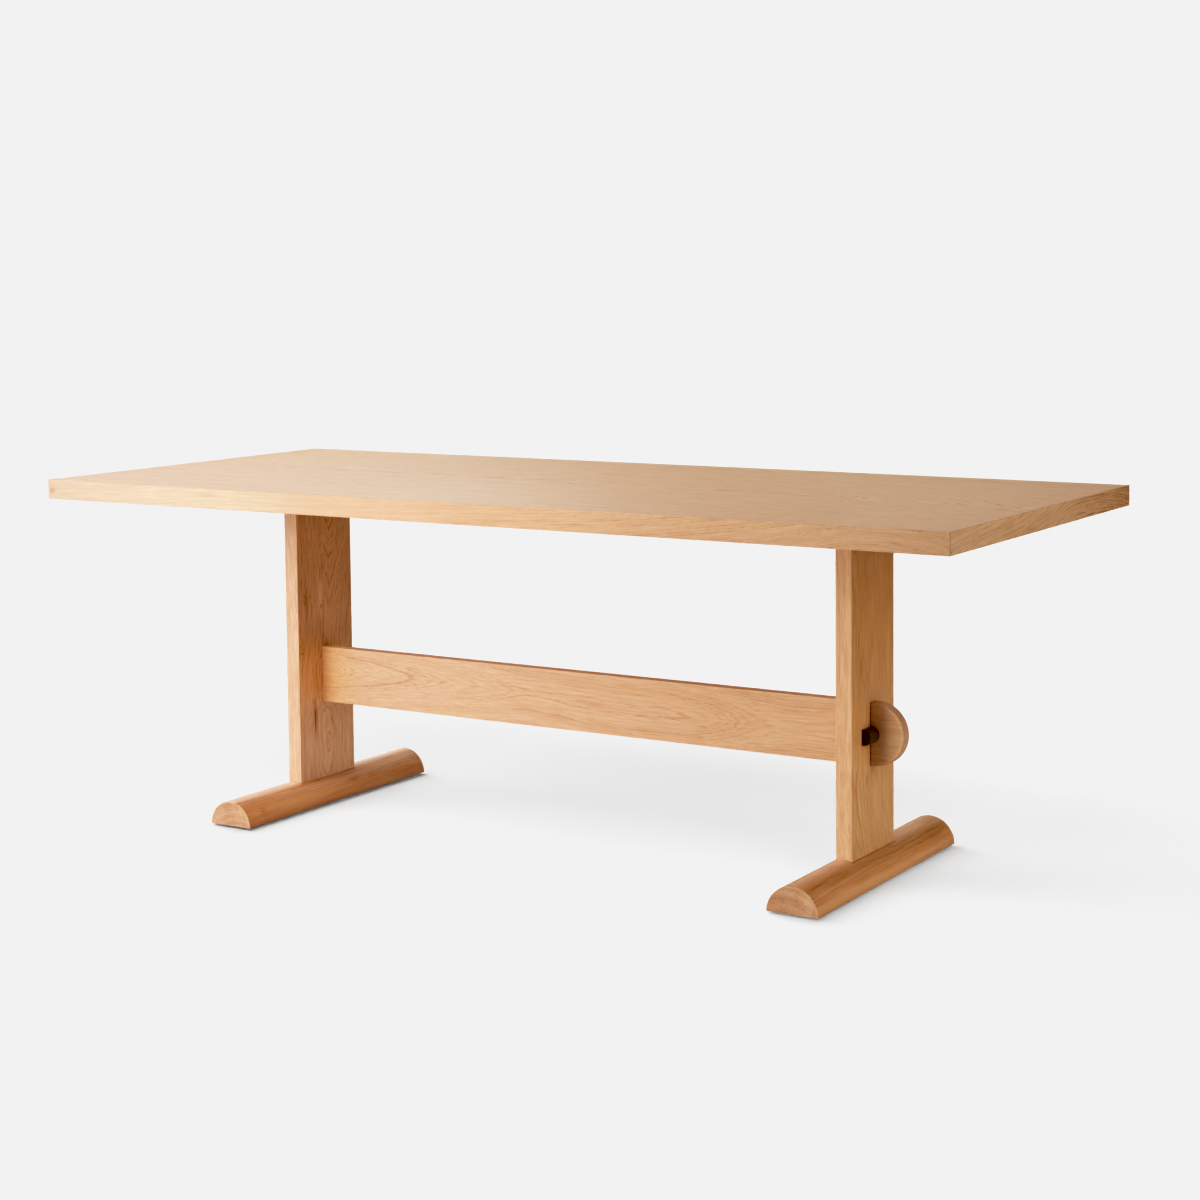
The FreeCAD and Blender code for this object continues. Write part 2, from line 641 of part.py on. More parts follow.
# ---------------------------------------------------------------------- keys
def key(label, x, turn):
    """Half-round peg across the tenon, flat side on the post's outer face."""
    body = new_body(label)
    sk = new_sketch(body, label + "_section", "XZ_Plane")
    half_round(sk, 0, S.key_straight, S.key_radius, 0, 1, "peg")
    peg = pad(body, sk, S.key_length, label + "_peg", both_ways=True)
    doc.recompute()
    half = S.key_length.value / 2
    ends = edges_where(body.Shape, lambda p: abs(abs(p.y) - half) < 1e-6)
    ease(body, peg, ends, S.key_chamfer, label + "_ends", "Chamfer")
    place(body, x=x, z=stretcher_axis, turn=turn)
    return keep(body)


key("left_key", -post_outer, 180)
key("right_key", post_outer, 0)


# ----------------------------------------------------------------- fasteners
def turned(label, points, x, y, z, step=None, sides=("YZ_Plane", "XZ_Plane"), socket=False):
    """Turned pieces of one kind as separate solids.

    points is the half section as (radius, height) Dims round an upright axis
    at (x, y); the piece is repeated by step along X and then mirrored.
    """
    body = new_body(label)
    if hasattr(body, "AllowCompound"):
        body.AllowCompound = True
    sk = new_sketch(body, label + "_section", "XZ_Plane", shift_x=x, lift=-y)
    polygon(sk, points, "turn")
    solid = revolve(body, sk, label + "_turned")
    body.Tip = solid
    doc.recompute()
    originals = [solid]
    if socket:
        # hexagon socket in the head's lower face
        sk = new_sketch(body, label + "_socket", "XY_Plane", shift_x=x, shift_y=y)
        start = sk.GeometryCount
        rr = S.socket_radius.value
        pts = [Vector(rr * math.cos(math.radians(60 * i)), rr * math.sin(math.radians(60 * i)), 0) for i in range(6)]
        for i in range(6):
            sk.addGeometry(Part.LineSegment(pts[i], pts[(i + 1) % 6]), False)
        ring = sk.addGeometry(Part.Circle(Vector(0, 0, 0), Vector(0, 0, 1), rr), True)
        for i in range(6):
            sk.addConstraint(Sketcher.Constraint("Coincident", start + i, 2, start + (i + 1) % 6, 1))
            sk.addConstraint(Sketcher.Constraint("PointOnObject", start + i, 1, ring))
        for i in range(1, 6):
            sk.addConstraint(Sketcher.Constraint("Equal", start, start + i))
        sk.addConstraint(Sketcher.Constraint("Coincident", ring, 3, -1, 1))
        sk.addConstraint(Sketcher.Constraint("PointOnObject", start, 1, -1))
        index = sk.addConstraint(Sketcher.Constraint("Radius", ring, rr))
        sk.renameConstraint(index, "corner")
        sk.setExpression("Constraints.corner", S.socket_radius.text)
        cut = pocket(body, sk, label + "_hexagon", depth=S.socket_depth, up=True)
        originals.append(cut)
    if step is not None or sides:
        multi = repeat(body, originals[0], label + "_all", step=step, sides=sides)
        if socket:
            multi.Originals = originals
            doc.recompute()
    place(body, z=z)
    return keep(body)


# M8 socket-head bolts, head down in the bearer's counterbore.
seat = bearer_base + S.counterbore_depth
head_base = seat - S.washer_thick - S.bolt_head_height
turned("bearer_bolts",
       [(0, 0), (S.bolt_head_radius, 0), (S.bolt_head_radius, S.bolt_head_height),
        (S.bolt_radius, S.bolt_head_height), (S.bolt_radius, S.bolt_head_height + S.bolt_length - 1),
        (S.bolt_radius - 1, S.bolt_head_height + S.bolt_length), (0, S.bolt_head_height + S.bolt_length)],
       left_row, S.bolt_row, head_base, step=S.bolt_offset * 2, socket=True)

turned("bearer_washers",
       [(S.washer_bore, 0), (S.washer_radius, 0), (S.washer_radius, S.washer_thick), (S.washer_bore, S.washer_thick)],
       left_row, S.bolt_row, seat - S.washer_thick, step=S.bolt_offset * 2)

# Threaded inserts, flange flush with the back veneer.
turned("threaded_inserts",
       [(S.insert_bore, 0), (S.insert_flange, 0), (S.insert_flange, S.veneer_thick),
        (S.insert_radius, S.veneer_thick), (S.insert_radius, S.insert_length), (S.insert_bore, S.insert_length)],
       left_row, S.bolt_row, top_under, step=S.bolt_offset * 2)


def wood_screw(head, shank, length, up):
    """Half section of a flat-seated wood screw; up is true when its tip points up."""
    rise = head_rise(head, shank)
    tip = shank * 2
    if up:
        return [(0, 0), (head, 0), (head, rise), (shank, rise), (shank, length - tip), (0, length)]
    return [(0, 0), (shank, tip), (shank, length - rise), (head, length - rise), (head, length), (0, length)]


# Screws down through the bearers into the posts.
turned("bearer_screws", wood_screw(S.bscrew_head, S.bscrew_radius, S.bscrew_length, False),
       S.post_centre, S.bscrew_row, bscrew_tip)

# Screws up through the feet into the posts.
turned("foot_screws", wood_screw(S.fscrew_head, S.fscrew_radius, S.fscrew_length, True),
       S.post_centre, S.fscrew_row, foot_base + S.fscrew_recess)

# -------------------------------------------------------------------- glides
# Nylon pads under the feet, each with a recess for its nail's head.
turned("foot_glides",
       [(0, 0), (S.glide_radius - 1, 0), (S.glide_radius, 1), (S.glide_radius, S.glide_height),
        (S.nail_head_radius + S.fastener_gap, S.glide_height),
        (S.nail_head_radius + S.fastener_gap, S.glide_height - S.nail_head_height),
        (0, S.glide_height - S.nail_head_height)],
       S.post_centre, S.glide_centre, Dim.of(0))

turned("glide_nails",
       [(0, 0), (S.nail_head_radius, 0), (S.nail_head_radius, S.nail_head_height),
        (S.nail_radius, S.nail_head_height), (S.nail_radius, S.nail_head_height + S.nail_length - 3),
        (0, S.nail_head_height + S.nail_length)],
       S.post_centre, S.glide_centre, S.glide_height - S.nail_head_height)

# --------------------------------------------------------------------- check
doc.recompute()
bad = []
for obj in doc.Objects:
    if any(word in obj.State for word in ("Invalid", "Error")):
        bad.append("%s: %s" % (obj.Name, obj.State))
for obj in NODES:
    if obj.Shape.isNull() or not obj.Shape.isValid() or not obj.Shape.Solids:
        bad.append("%s has no valid solid" % obj.Label)
if bad:
    raise RuntimeError("; ".join(bad))

# -------------------------------------------------------------------- export
os.makedirs("parts", exist_ok=True)
for obj in NODES:
    obj.Shape.exportStep(os.path.join("parts", obj.Label + ".step"))
    box = obj.Shape.BoundBox
    print("%-18s %2d solid(s) %12.1f mm3  X %8.2f %8.2f  Y %8.2f %8.2f  Z %7.2f %7.2f"
          % (obj.Label, len(obj.Shape.Solids), obj.Shape.Volume, box.XMin, box.XMax, box.YMin, box.YMax, box.ZMin, box.ZMax))
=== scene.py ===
import math

import bmesh
import bpy
from mathutils import Matrix, Vector


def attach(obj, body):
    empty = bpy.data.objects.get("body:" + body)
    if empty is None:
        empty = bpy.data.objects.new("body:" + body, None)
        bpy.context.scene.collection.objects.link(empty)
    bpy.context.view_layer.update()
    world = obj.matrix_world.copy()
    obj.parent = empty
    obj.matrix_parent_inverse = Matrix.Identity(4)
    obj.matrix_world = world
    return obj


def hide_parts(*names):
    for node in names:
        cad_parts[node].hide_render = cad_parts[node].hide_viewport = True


# Trestle dining table. Row frame: +X along the top, +Y across it, +Z up,
# origin on the floor under the middle. Pieces are drawn in millimetres here
# and scaled to metres when their meshes are made.

MM = 0.001

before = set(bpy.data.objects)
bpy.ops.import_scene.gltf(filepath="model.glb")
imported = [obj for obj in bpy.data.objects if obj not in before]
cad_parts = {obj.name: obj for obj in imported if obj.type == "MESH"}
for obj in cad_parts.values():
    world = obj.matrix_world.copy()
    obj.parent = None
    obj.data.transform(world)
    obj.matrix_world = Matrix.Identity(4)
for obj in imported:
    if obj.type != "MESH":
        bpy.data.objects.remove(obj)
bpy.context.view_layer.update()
scene = bpy.context.scene


# ============================================================ node graph kit
class Sock:
    """A shader socket, or a plain number, that can be added and multiplied."""

    def __init__(self, g, v):
        self.g, self.v = g, v

    def _op(self, op, a, b):
        return self.g.math(op, a, b)

    def __add__(self, o):
        return self._op("ADD", self, o)

    __radd__ = __add__

    def __mul__(self, o):
        return self._op("MULTIPLY", self, o)

    __rmul__ = __mul__

    def __sub__(self, o):
        return self._op("SUBTRACT", self, o)

    def __rsub__(self, o):
        return self._op("SUBTRACT", o, self)

    def __truediv__(self, o):
        return self._op("DIVIDE", self, o)

    def __neg__(self):
        return self._op("MULTIPLY", self, -1.0)


class Graph:
    """Builds one material's nodes."""

    def __init__(self, name):
        self.mat = bpy.data.materials.new(name)
        self.mat.use_nodes = True
        self.tree = self.mat.node_tree
        self.tree.nodes.clear()
        self.count = 0

    def node(self, kind, **props):
        n = self.tree.nodes.new(kind)
        n.location = (200 * (self.count % 24), -180 * (self.count // 24))
        self.count += 1
        for k, v in props.items():
            setattr(n, k, v)
        return n

    def put(self, socket, value):
        if isinstance(value, Sock):
            value = value.v
        if isinstance(value, bpy.types.NodeSocket):
            self.tree.links.new(value, socket)
        else:
            socket.default_value = value

    def math(self, op, *args, clamp=False):
        n = self.node("ShaderNodeMath", operation=op, use_clamp=clamp)
        for i, a in enumerate(args):
            self.put(n.inputs[i], a)
        return Sock(self, n.outputs[0])

    def vec(self, x, y, z):
        n = self.node("ShaderNodeCombineXYZ")
        for i, a in enumerate((x, y, z)):
            self.put(n.inputs[i], a)
        return Sock(self, n.outputs[0])

    def place(self):
        """The point in the piece's own frame, in millimetres."""
        tc = self.node("ShaderNodeTexCoord")
        sep = self.node("ShaderNodeSeparateXYZ")
        self.put(sep.inputs[0], tc.outputs["Object"])
        return [Sock(self, sep.outputs[i]) * 1000.0 for i in range(3)]

    def noise(self, vector, detail=2.0, rough=0.5, scale=1.0, distort=0.0):
        n = self.node("ShaderNodeTexNoise", noise_dimensions="3D")
        self.put(n.inputs["Vector"], vector)
        self.put(n.inputs["Scale"], scale)
        self.put(n.inputs["Detail"], detail)
        self.put(n.inputs["Roughness"], rough)
        self.put(n.inputs["Distortion"], distort)
        return Sock(self, n.outputs[0])

    def noise1(self, w, detail=0.0):
        n = self.node("ShaderNodeTexNoise", noise_dimensions="1D")
        self.put(n.inputs["W"], w)
        self.put(n.inputs["Scale"], 1.0)
        self.put(n.inputs["Detail"], detail)
        return Sock(self, n.outputs[0])

    def hash1(self, w):
        n = self.node("ShaderNodeTexWhiteNoise", noise_dimensions="1D")
        self.put(n.inputs["W"], w)
        return Sock(self, n.outputs["Value"])

    def smooth(self, x, lo, hi):
        """0 below lo, 1 above hi, smooth between; hi may be below lo."""
        n = self.node("ShaderNodeMapRange", interpolation_type="SMOOTHSTEP")
        for i, a in enumerate((x, lo, hi, 0.0, 1.0)):
            self.put(n.inputs[i], a)
        return Sock(self, n.outputs[0])

    def curve(self, t, points):
        """A value drawn against t in 0 to 1, smooth between points."""
        ys = [p[1] for p in points]
        lo, hi = min(ys), max(ys)
        if hi - lo < 1e-9:
            return Sock(self, lo)
        n = self.node("ShaderNodeFloatCurve")
        c = n.mapping.curves[0]
        pts = [(x, (y - lo) / (hi - lo)) for x, y in points]
        while len(c.points) < len(pts):
            c.points.new(0.5, 0.5)
        for p, (x, y) in zip(c.points, pts):
            p.location = (x, y)
            p.handle_type = "AUTO_CLAMPED"
        n.mapping.update()
        self.put(n.inputs["Value"], t)
        return Sock(self, n.outputs[0]) * (hi - lo) + lo

    def ramp(self, t, stops, mode="LINEAR"):
        n = self.node("ShaderNodeValToRGB")
        n.color_ramp.interpolation = mode
        el = n.color_ramp.elements
        while len(el) < len(stops):
            el.new(0.5)
        for e, (pos, col) in zip(el, stops):
            e.position = pos
            e.color = (*col, 1.0)
        self.put(n.inputs[0], t)
        return Sock(self, n.outputs[0])

    def blendc(self, a, b, t, mode="MIX"):
        n = self.node("ShaderNodeMix", data_type="RGBA", blend_type=mode, clamp_result=False)
        self.put(n.inputs[0], t)
        col = [s for s in n.inputs if s.type == "RGBA"]
        self.put(col[0], a if isinstance(a, Sock) else (*a, 1.0))
        self.put(col[1], b if isinstance(b, Sock) else (*b, 1.0))
        return Sock(self, [s for s in n.outputs if s.type == "RGBA"][0])

    def surface(self, color, rough, height=None, depth=0.0001, strength=1.0, **fixed):
        """The Principled surface. Numbers that are the same all over are in fixed."""
        out = self.node("ShaderNodeOutputMaterial")
        bsdf = self.node("ShaderNodeBsdfPrincipled")
        self.put(bsdf.inputs["Base Color"], color)
        self.put(bsdf.inputs["Roughness"], rough)
        for k, v in fixed.items():
            bsdf.inputs[k.replace("_", " ")].default_value = v
        if height is not None:
            bump = self.node("ShaderNodeBump")
            bump.inputs["Strength"].default_value = strength
            bump.inputs["Distance"].default_value = depth
            self.put(bump.inputs["Height"], height)
            self.tree.links.new(bump.outputs[0], bsdf.inputs["Normal"])
        self.tree.links.new(bsdf.outputs[0], out.inputs[0])
        return self.mat


def lin(r, g, b):
    """An sRGB colour given in 0 to 255, as scene-linear."""
    def f(c):
        c = c / 255.0
        return c / 12.92 if c <= 0.04045 else ((c + 0.055) / 1.055) ** 2.4
    return (f(r), f(g), f(b))


def tint(col, k):
    return tuple(c * k if not isinstance(k, tuple) else c * kk
                 for c, kk in zip(col, k if isinstance(k, tuple) else (k, k, k)))


# ================================================================= materials
OAK_PALE = lin(228, 196, 166)
OAK_BASE = lin(207, 170, 142)
OAK_MID = lin(184, 142, 112)
OAK_DARK = lin(108, 76, 56)


def oak(name, axes, centre, length, seed, w0, v0, ring=3.2, tone=(1.0, 1.0, 1.0),
        line=0.20, pore=0.14, fibre=0.48, fine=0.20, cloud=0.10, hue=0.4, sway=1.0, jag=1.0, flank=1.0,
        sharp=0.0, features=(), start=0.30, rough=0.40, drift=None, fade=None, marks_and_painted_light=None, zone=0.12,
        tints=()):
    """Solid oak, cut from a tree whose growth rings run through the board.

    axes says which of X, Y, Z run along the grain, across the shown face and
    into the board. w0 and v0 draw the depth and the sideways place of the
    tree's heart along the board, in millimetres, so that arches, loops and
    straight lines come out where the board cuts the rings. features are
    (along, across, size along, size across, ring push, darkening); on the
    feet most of them are painted highlights and painted shade. drift darkens
    or lightens the board along its length, partly its own tone and partly
    painted light, and fade weighs its ring lines. The marks function makes
    the wood paler, or darker where it is below 0: real dark mitre lines, a
    paler near side on the posts, and painted highlights and painted shade on
    the feet and tenons. zone is how much groups of rings differ. tints are
    (where, colour to multiply by), and all of them are painted light.
    """
    g = Graph(name)
    p = g.place()
    u = p[axes[0]] - centre[axes[0]]
    v = p[axes[1]] - centre[axes[1]]
    w = p[axes[2]] - centre[axes[2]]
    un = u / length + 0.5
    s = seed * 17.31
    # the board's slow wander, finer waviness, and the torn look of each line
    broad = g.noise(g.vec(u * 0.0022 + s, v * 0.010 + s * 0.3, w * 0.012), 1.0) - 0.5
    wave = g.noise(g.vec(u * 0.0085 + s * 1.7, v * 0.040, w * 0.05 + s), 2.0) - 0.5
    torn = g.noise(g.vec(u * 0.012 + s * 0.6, v * 0.36, w * 0.36), 3.0, 0.62) - 0.5
    dv = v - g.curve(un, v0) + broad * (14.0 * sway)
    dw = w - g.curve(un, w0)
    push = (wave * (6.0 * sway)) + (torn * (3.2 * jag))
    if sharp:
        push = push + g.math("SQRT", dv * dv + 9.0) * sharp
    dark = None
    for fu, fv, su, sv, bump, shade in features:
        a = (u - fu) / su
        b = (v - fv) / sv
        m = g.math("EXPONENT", -(a * a + b * b))
        if bump:
            push = push + m * bump
        if shade:
            dark = m * shade if dark is None else dark + m * shade
    dvf = dv * flank
    rr = (g.math("SQRT", dvf * dvf + dw * dw) + push) / ring
    rr = rr + (g.noise1(rr * 0.31 + s, 1.0) - 0.5) * 1.1
    f = g.math("FRACT", rr)
    k = g.math("FLOOR", rr)
    amp = g.hash1(k + s) * 0.85 + 0.25
    early = g.math("MAXIMUM", g.smooth(f, 0.46, 0.03), g.smooth(f, 0.90, 1.0))
    grainline = early * amp
    if fade is not None:
        grainline = grainline * g.curve(un, fade)
    # vessels: long thin openings, thick in the early wood, sparse elsewhere
    pn = g.noise(g.vec(u * 0.10 + s, dv * 2.7 + torn * 5.0, dw * 2.7), 1.0)
    thr = 0.70 - grainline * 0.20
    pores = g.smooth(pn, thr, thr + 0.09)
    # rays: short dark spindles seen on flat-sawn faces
    rn = g.noise(g.vec(u * 0.23 + s * 2.1, v * 1.9 + s, w * 0.35), 0.0)
    rays = g.smooth(rn, 0.70, 0.78)
    # fibre in two sizes: streaks a few millimetres wide, and hairlines
    fib = g.noise(g.vec(u * 0.013 + s * 0.9, dv * 0.24, dw * 0.24), 4.0, 0.66) - 0.5
    hair = g.noise(g.vec(u * 0.040 + s * 1.9, dv * 1.05, dw * 1.05), 2.0, 0.6) - 0.5
    cl = g.noise(g.vec(u * 0.0045 + s * 1.3, dv * 0.045, dw * 0.045), 2.0) - 0.5
    t = grainline * line + pores * pore + rays * (pore * 0.35) + fib * fibre + hair * fine + cl * cloud + start
    t = t + (g.noise1(rr * 0.27 + s * 1.3, 1.0) - 0.5) * zone
    if drift is not None:
        t = t + g.curve(un, drift)
    if dark is not None:
        t = t + dark
    # marks: real dark mitre lines, a paler near side on the posts, painted highlights and painted shade on the feet and
    # tenons
    if marks_and_painted_light is not None:
        t = t - marks_and_painted_light(g, u, v, w) * 0.16
    t = g.math("ADD", t, 0.0, clamp=True)
    col = g.ramp(t, [(0.0, tint(OAK_PALE, tone)), (0.30, tint(OAK_BASE, tone)),
                     (0.62, tint(OAK_MID, tone)), (1.0, tint(OAK_DARK, tone))])
    # slow drift between a pinker and a yellower brown
    yellow = g.noise(g.vec(u * 0.003 + s * 2.7, dv * 0.022, dw * 0.03), 1.0)
    col = g.blendc(col, (1.0, 0.965, 0.915), g.smooth(yellow, 0.36, 0.70) * hue, "MULTIPLY")
    # tints: painted light and shade multiplied into the colour
    for where, rgb in tints:
        col = g.blendc(col, rgb, where(g, u, v, w), "MULTIPLY")
    ro = grainline * 0.10 + pores * 0.22 + fib * 0.14 + hair * 0.08 + rough
    h = -(pores * 0.9) - grainline * 0.22 + hair * 0.35
    return g.surface(col, ro, h, depth=0.00010, strength=0.55)


def walnut(name, centre, seed):
    """Dark close-grained wood of the keys."""
    g = Graph(name)
    p = g.place()
    u = p[1]
    v = p[2] - centre[2]
    w = p[0] - centre[0]
    s = seed * 9.7
    wave = g.noise(g.vec(u * 0.012 + s, v * 0.07, w * 0.07), 2.0) - 0.5
    rr = (g.math("SQRT", (v + 9.0) * (v + 9.0) + (w - 31.0) * (w - 31.0)) + wave * 5.0) / 2.1
    f = g.math("FRACT", rr + (g.noise1(rr * 0.4 + s) - 0.5) * 1.4)
    band = g.smooth(f, 0.65, 0.05)
    fib = g.noise(g.vec(u * 0.05 + s, v * 1.3, w * 1.3), 3.0, 0.6) - 0.5
    pn = g.noise(g.vec(u * 0.12 + s, v * 3.1, w * 3.1), 1.0)
    pores = g.smooth(pn, 0.60, 0.68)
    t = g.math("ADD", band * 0.35 + fib * 0.5 + pores * 0.3, 0.25, clamp=True)
    col = g.ramp(t, [(0.0, lin(102, 88, 84)), (0.4, lin(74, 66, 64)),
                     (0.75, lin(50, 46, 46)), (1.0, lin(33, 32, 32))])
    red = g.noise(g.vec(u * 0.02 + s, v * 0.05, w * 0.05), 1.0)
    col = g.blendc(col, (1.0, 0.84, 0.72), g.smooth(red, 0.42, 0.66) * 0.45, "MULTIPLY")
    ro = pores * 0.2 + fib * 0.15 + 0.42
    return g.surface(col, ro, fib * 0.4 - pores, depth=0.00008, strength=0.6)


def metal(name, light, dark, axis, rough, seed, turned=True):
    """Turned or rolled metal: fine tool lines, smudges and slight dulling."""
    g = Graph(name)
    p = g.place()
    s = seed * 3.3
    lines = g.noise(g.vec(p[0] * 0.9 + s, p[1] * 0.9, p[2] * 9.0), 2.0) - 0.5
    blot = g.noise(g.vec(p[0] * 0.11 + s, p[1] * 0.11, p[2] * 0.15), 3.0) - 0.5
    pit = g.smooth(g.noise(g.vec(p[0] * 1.6, p[1] * 1.6 + s, p[2] * 1.6), 1.0), 0.66, 0.74)
    t = g.math("ADD", lines * 0.5 + blot * 0.9 + pit * 0.4, 0.35, clamp=True)
    col = g.ramp(t, [(0.0, light), (0.5, tuple((a + b) / 2 for a, b in zip(light, dark))), (1.0, dark)])
    ro = blot * 0.22 + lines * 0.18 + pit * 0.15 + rough
    return g.surface(col, ro, lines * 0.6 - pit, depth=0.00004, strength=0.5, Metallic=1.0)


def nylon(name, seed):
    """Moulded dark brown nylon: faint flow marks, scuffs where it slides."""
    g = Graph(name)
    p = g.place()
    flow = g.noise(g.vec(p[0] * 0.10, p[1] * 0.10, p[2] * 0.5 + seed), 3.0) - 0.5
    grit = g.noise(g.vec(p[0] * 2.4, p[1] * 2.4, p[2] * 2.4), 2.0) - 0.5
    scuff = g.smooth(g.noise(g.vec(p[0] * 0.22, p[1] * 1.6, p[2] * 0.2), 2.0), 0.54, 0.70) * g.smooth(p[2], 1.2, 0.0)
    t = g.math("ADD", flow * 0.7 + grit * 0.3 + scuff * 0.5, 0.35, clamp=True)
    col = g.ramp(t, [(0.0, lin(48, 40, 33)), (0.5, lin(64, 54, 45)), (1.0, lin(102, 90, 77))])
    ro = flow * 0.14 + scuff * 0.22 + grit * 0.08 + 0.46
    return g.surface(col, ro, grit + scuff * 0.4, depth=0.00005, strength=0.5)


def core_wood(name):
    """Layered panel core, seen only where holes open it."""
    g = Graph(name)
    p = g.place()
    ply = g.math("FRACT", p[2] / 2.9)
    band = g.smooth(ply, 0.42, 0.5) * g.smooth(ply, 1.0, 0.92)
    fib = g.noise(g.vec(p[0] * 0.06, p[1] * 0.9, p[2] * 0.9), 3.0) - 0.5
    fib2 = g.noise(g.vec(p[0] * 0.9, p[1] * 0.06, p[2] * 0.9), 3.0) - 0.5
    t = g.math("ADD", band * 0.3 + fib * 0.4 + fib2 * 0.3, 0.3, clamp=True)
    col = g.ramp(t, [(0.0, lin(216, 184, 140)), (0.5, lin(188, 148, 104)), (1.0, lin(128, 92, 60))])
    return g.surface(col, fib * 0.2 + 0.6, fib, depth=0.0001, strength=0.5)


# ================================================================ mesh makers
def finish_mesh(name, bm, mat, body, node, sharp=32.0, weighted=True):
    """Turn a bmesh drawn in millimetres into a piece that rides on its body."""
    bmesh.ops.remove_doubles(bm, verts=bm.verts, dist=1e-5)
    bmesh.ops.recalc_face_normals(bm, faces=bm.faces)
    bm.transform(Matrix.Scale(MM, 4))
    me = bpy.data.meshes.new(name)
    bm.to_mesh(me)
    bm.free()
    return finish_object(name, me, mat, body, node, sharp, weighted)


def finish_object(name, me, mat, body, node, sharp=32.0, weighted=True):
    me.polygons.foreach_set("use_smooth", [True] * len(me.polygons))
    me.set_sharp_from_angle(angle=math.radians(sharp))
    me.materials.clear()
    me.materials.append(mat)
    ob = bpy.data.objects.new(name, me)
    scene.collection.objects.link(ob)
    if weighted:
        mod = ob.modifiers.new("flats", "WEIGHTED_NORMAL")
        mod.keep_sharp = True
        mod.weight = 60
    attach(ob, body)
    if node:
        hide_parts(node)
    return ob


def cells(xs, ys, zs, solid):
    """Closed solid made of the cells of a grid for which solid(x, y, z) holds."""
    bm = bmesh.new()
    verts = {}

    def vert(i, j, k):
        if (i, j, k) not in verts:
            verts[i, j, k] = bm.verts.new((xs[i], ys[j], zs[k]))
        return verts[i, j, k]

    nx, ny, nz = len(xs) - 1, len(ys) - 1, len(zs) - 1

    def full(i, j, k):
        if not (0 <= i < nx and 0 <= j < ny and 0 <= k < nz):
            return False
        return solid((xs[i] + xs[i + 1]) / 2, (ys[j] + ys[j + 1]) / 2, (zs[k] + zs[k + 1]) / 2)

    for i in range(nx):
        for j in range(ny):
            for k in range(nz):
                if not full(i, j, k):
                    continue
                if not full(i - 1, j, k):
                    bm.faces.new([vert(i, j, k), vert(i, j, k + 1), vert(i, j + 1, k + 1), vert(i, j + 1, k)])
                if not full(i + 1, j, k):
                    bm.faces.new([vert(i + 1, j, k), vert(i + 1, j + 1, k), vert(i + 1, j + 1, k + 1), vert(i + 1, j, k + 1)])
                if not full(i, j - 1, k):
                    bm.faces.new([vert(i, j, k), vert(i + 1, j, k), vert(i + 1, j, k + 1), vert(i, j, k + 1)])
                if not full(i, j + 1, k):
                    bm.faces.new([vert(i, j + 1, k), vert(i, j + 1, k + 1), vert(i + 1, j + 1, k + 1), vert(i + 1, j + 1, k)])
                if not full(i, j, k - 1):
                    bm.faces.new([vert(i, j, k), vert(i, j + 1, k), vert(i + 1, j + 1, k), vert(i + 1, j, k)])
                if not full(i, j, k + 1):
                    bm.faces.new([vert(i, j, k + 1), vert(i + 1, j, k + 1), vert(i + 1, j + 1, k + 1), vert(i, j + 1, k + 1)])
    bmesh.ops.dissolve_limit(bm, angle_limit=math.radians(1), verts=bm.verts, edges=bm.edges)
    return bm


def prism(outline, axis, lo, hi):
    """Closed solid from an outline of points, pushed along an axis from lo to hi."""
    bm = bmesh.new()

    def point(a, b, t):
        return {0: (t, a, b), 1: (a, t, b), 2: (a, b, t)}[axis]

    first = [bm.verts.new(point(a, b, lo)) for a, b in outline]
    last = [bm.verts.new(point(a, b, hi)) for a, b in outline]
    n = len(outline)
    for i in range(n):
        j = (i + 1) % n
        bm.faces.new([first[i], first[j], last[j], last[i]])
    bm.faces.new(list(reversed(first)))
    bm.faces.new(last)
    bmesh.ops.recalc_face_normals(bm, faces=bm.faces)
    return bm


def ease(bm, test, radius, segments=3):
    """Round the edges whose two ends pass a test and whose faces turn a corner."""
    bm.normal_update()
    edges = []
    for e in bm.edges:
        if len(e.link_faces) == 2 and e.calc_face_angle(0) > math.radians(30) and e.is_convex:
            a, b = e.verts[0].co, e.verts[1].co
            if test(a, b):
                edges.append(e)
    if edges:
        bmesh.ops.bevel(bm, geom=edges, offset=radius, offset_type="OFFSET", segments=segments,
                        profile=0.5, affect="EDGES", clamp_overlap=True)
    return bm


def carve(bm, cutters):
    """Cut closed solids out of a solid, all in millimetres."""
    def to_object(b, label):
        me = bpy.data.meshes.new(label)
        b.to_mesh(me)
        b.free()
        ob = bpy.data.objects.new(label, me)
        scene.collection.objects.link(ob)
        return ob

    bmesh.ops.recalc_face_normals(bm, faces=bm.faces)
    body = to_object(bm, "carved")
    tools = []
    for c in cutters:
        bmesh.ops.recalc_face_normals(c, faces=c.faces)
        tool = to_object(c, "cutter")
        tools.append(tool)
        mod = body.modifiers.new("cut", "BOOLEAN")
        mod.operation = "DIFFERENCE"
        mod.solver = "EXACT"
        mod.object = tool
    dg = bpy.context.evaluated_depsgraph_get()
    dg.update()
    me = bpy.data.meshes.new_from_object(body.evaluated_get(dg))
    out = bmesh.new()
    out.from_mesh(me)
    for o in [body] + tools:
        old = o.data
        bpy.data.objects.remove(o)
        bpy.data.meshes.remove(old)
    bpy.data.meshes.remove(me)
    bmesh.ops.remove_doubles(out, verts=out.verts, dist=1e-4)
    bmesh.ops.dissolve_degenerate(out, edges=out.edges, dist=1e-5)
    return out


def block(x0, x1, y0, y1, z0, z1):
    return cells([x0, x1], [y0, y1], [z0, z1], lambda x, y, z: True)


def rod(x, y, z0, z1, radius, sides=32):
    pts = [(x + radius * math.cos(2 * math.pi * i / sides), y + radius * math.sin(2 * math.pi * i / sides))
           for i in range(sides)]
    return prism(pts, 2, z0, z1)


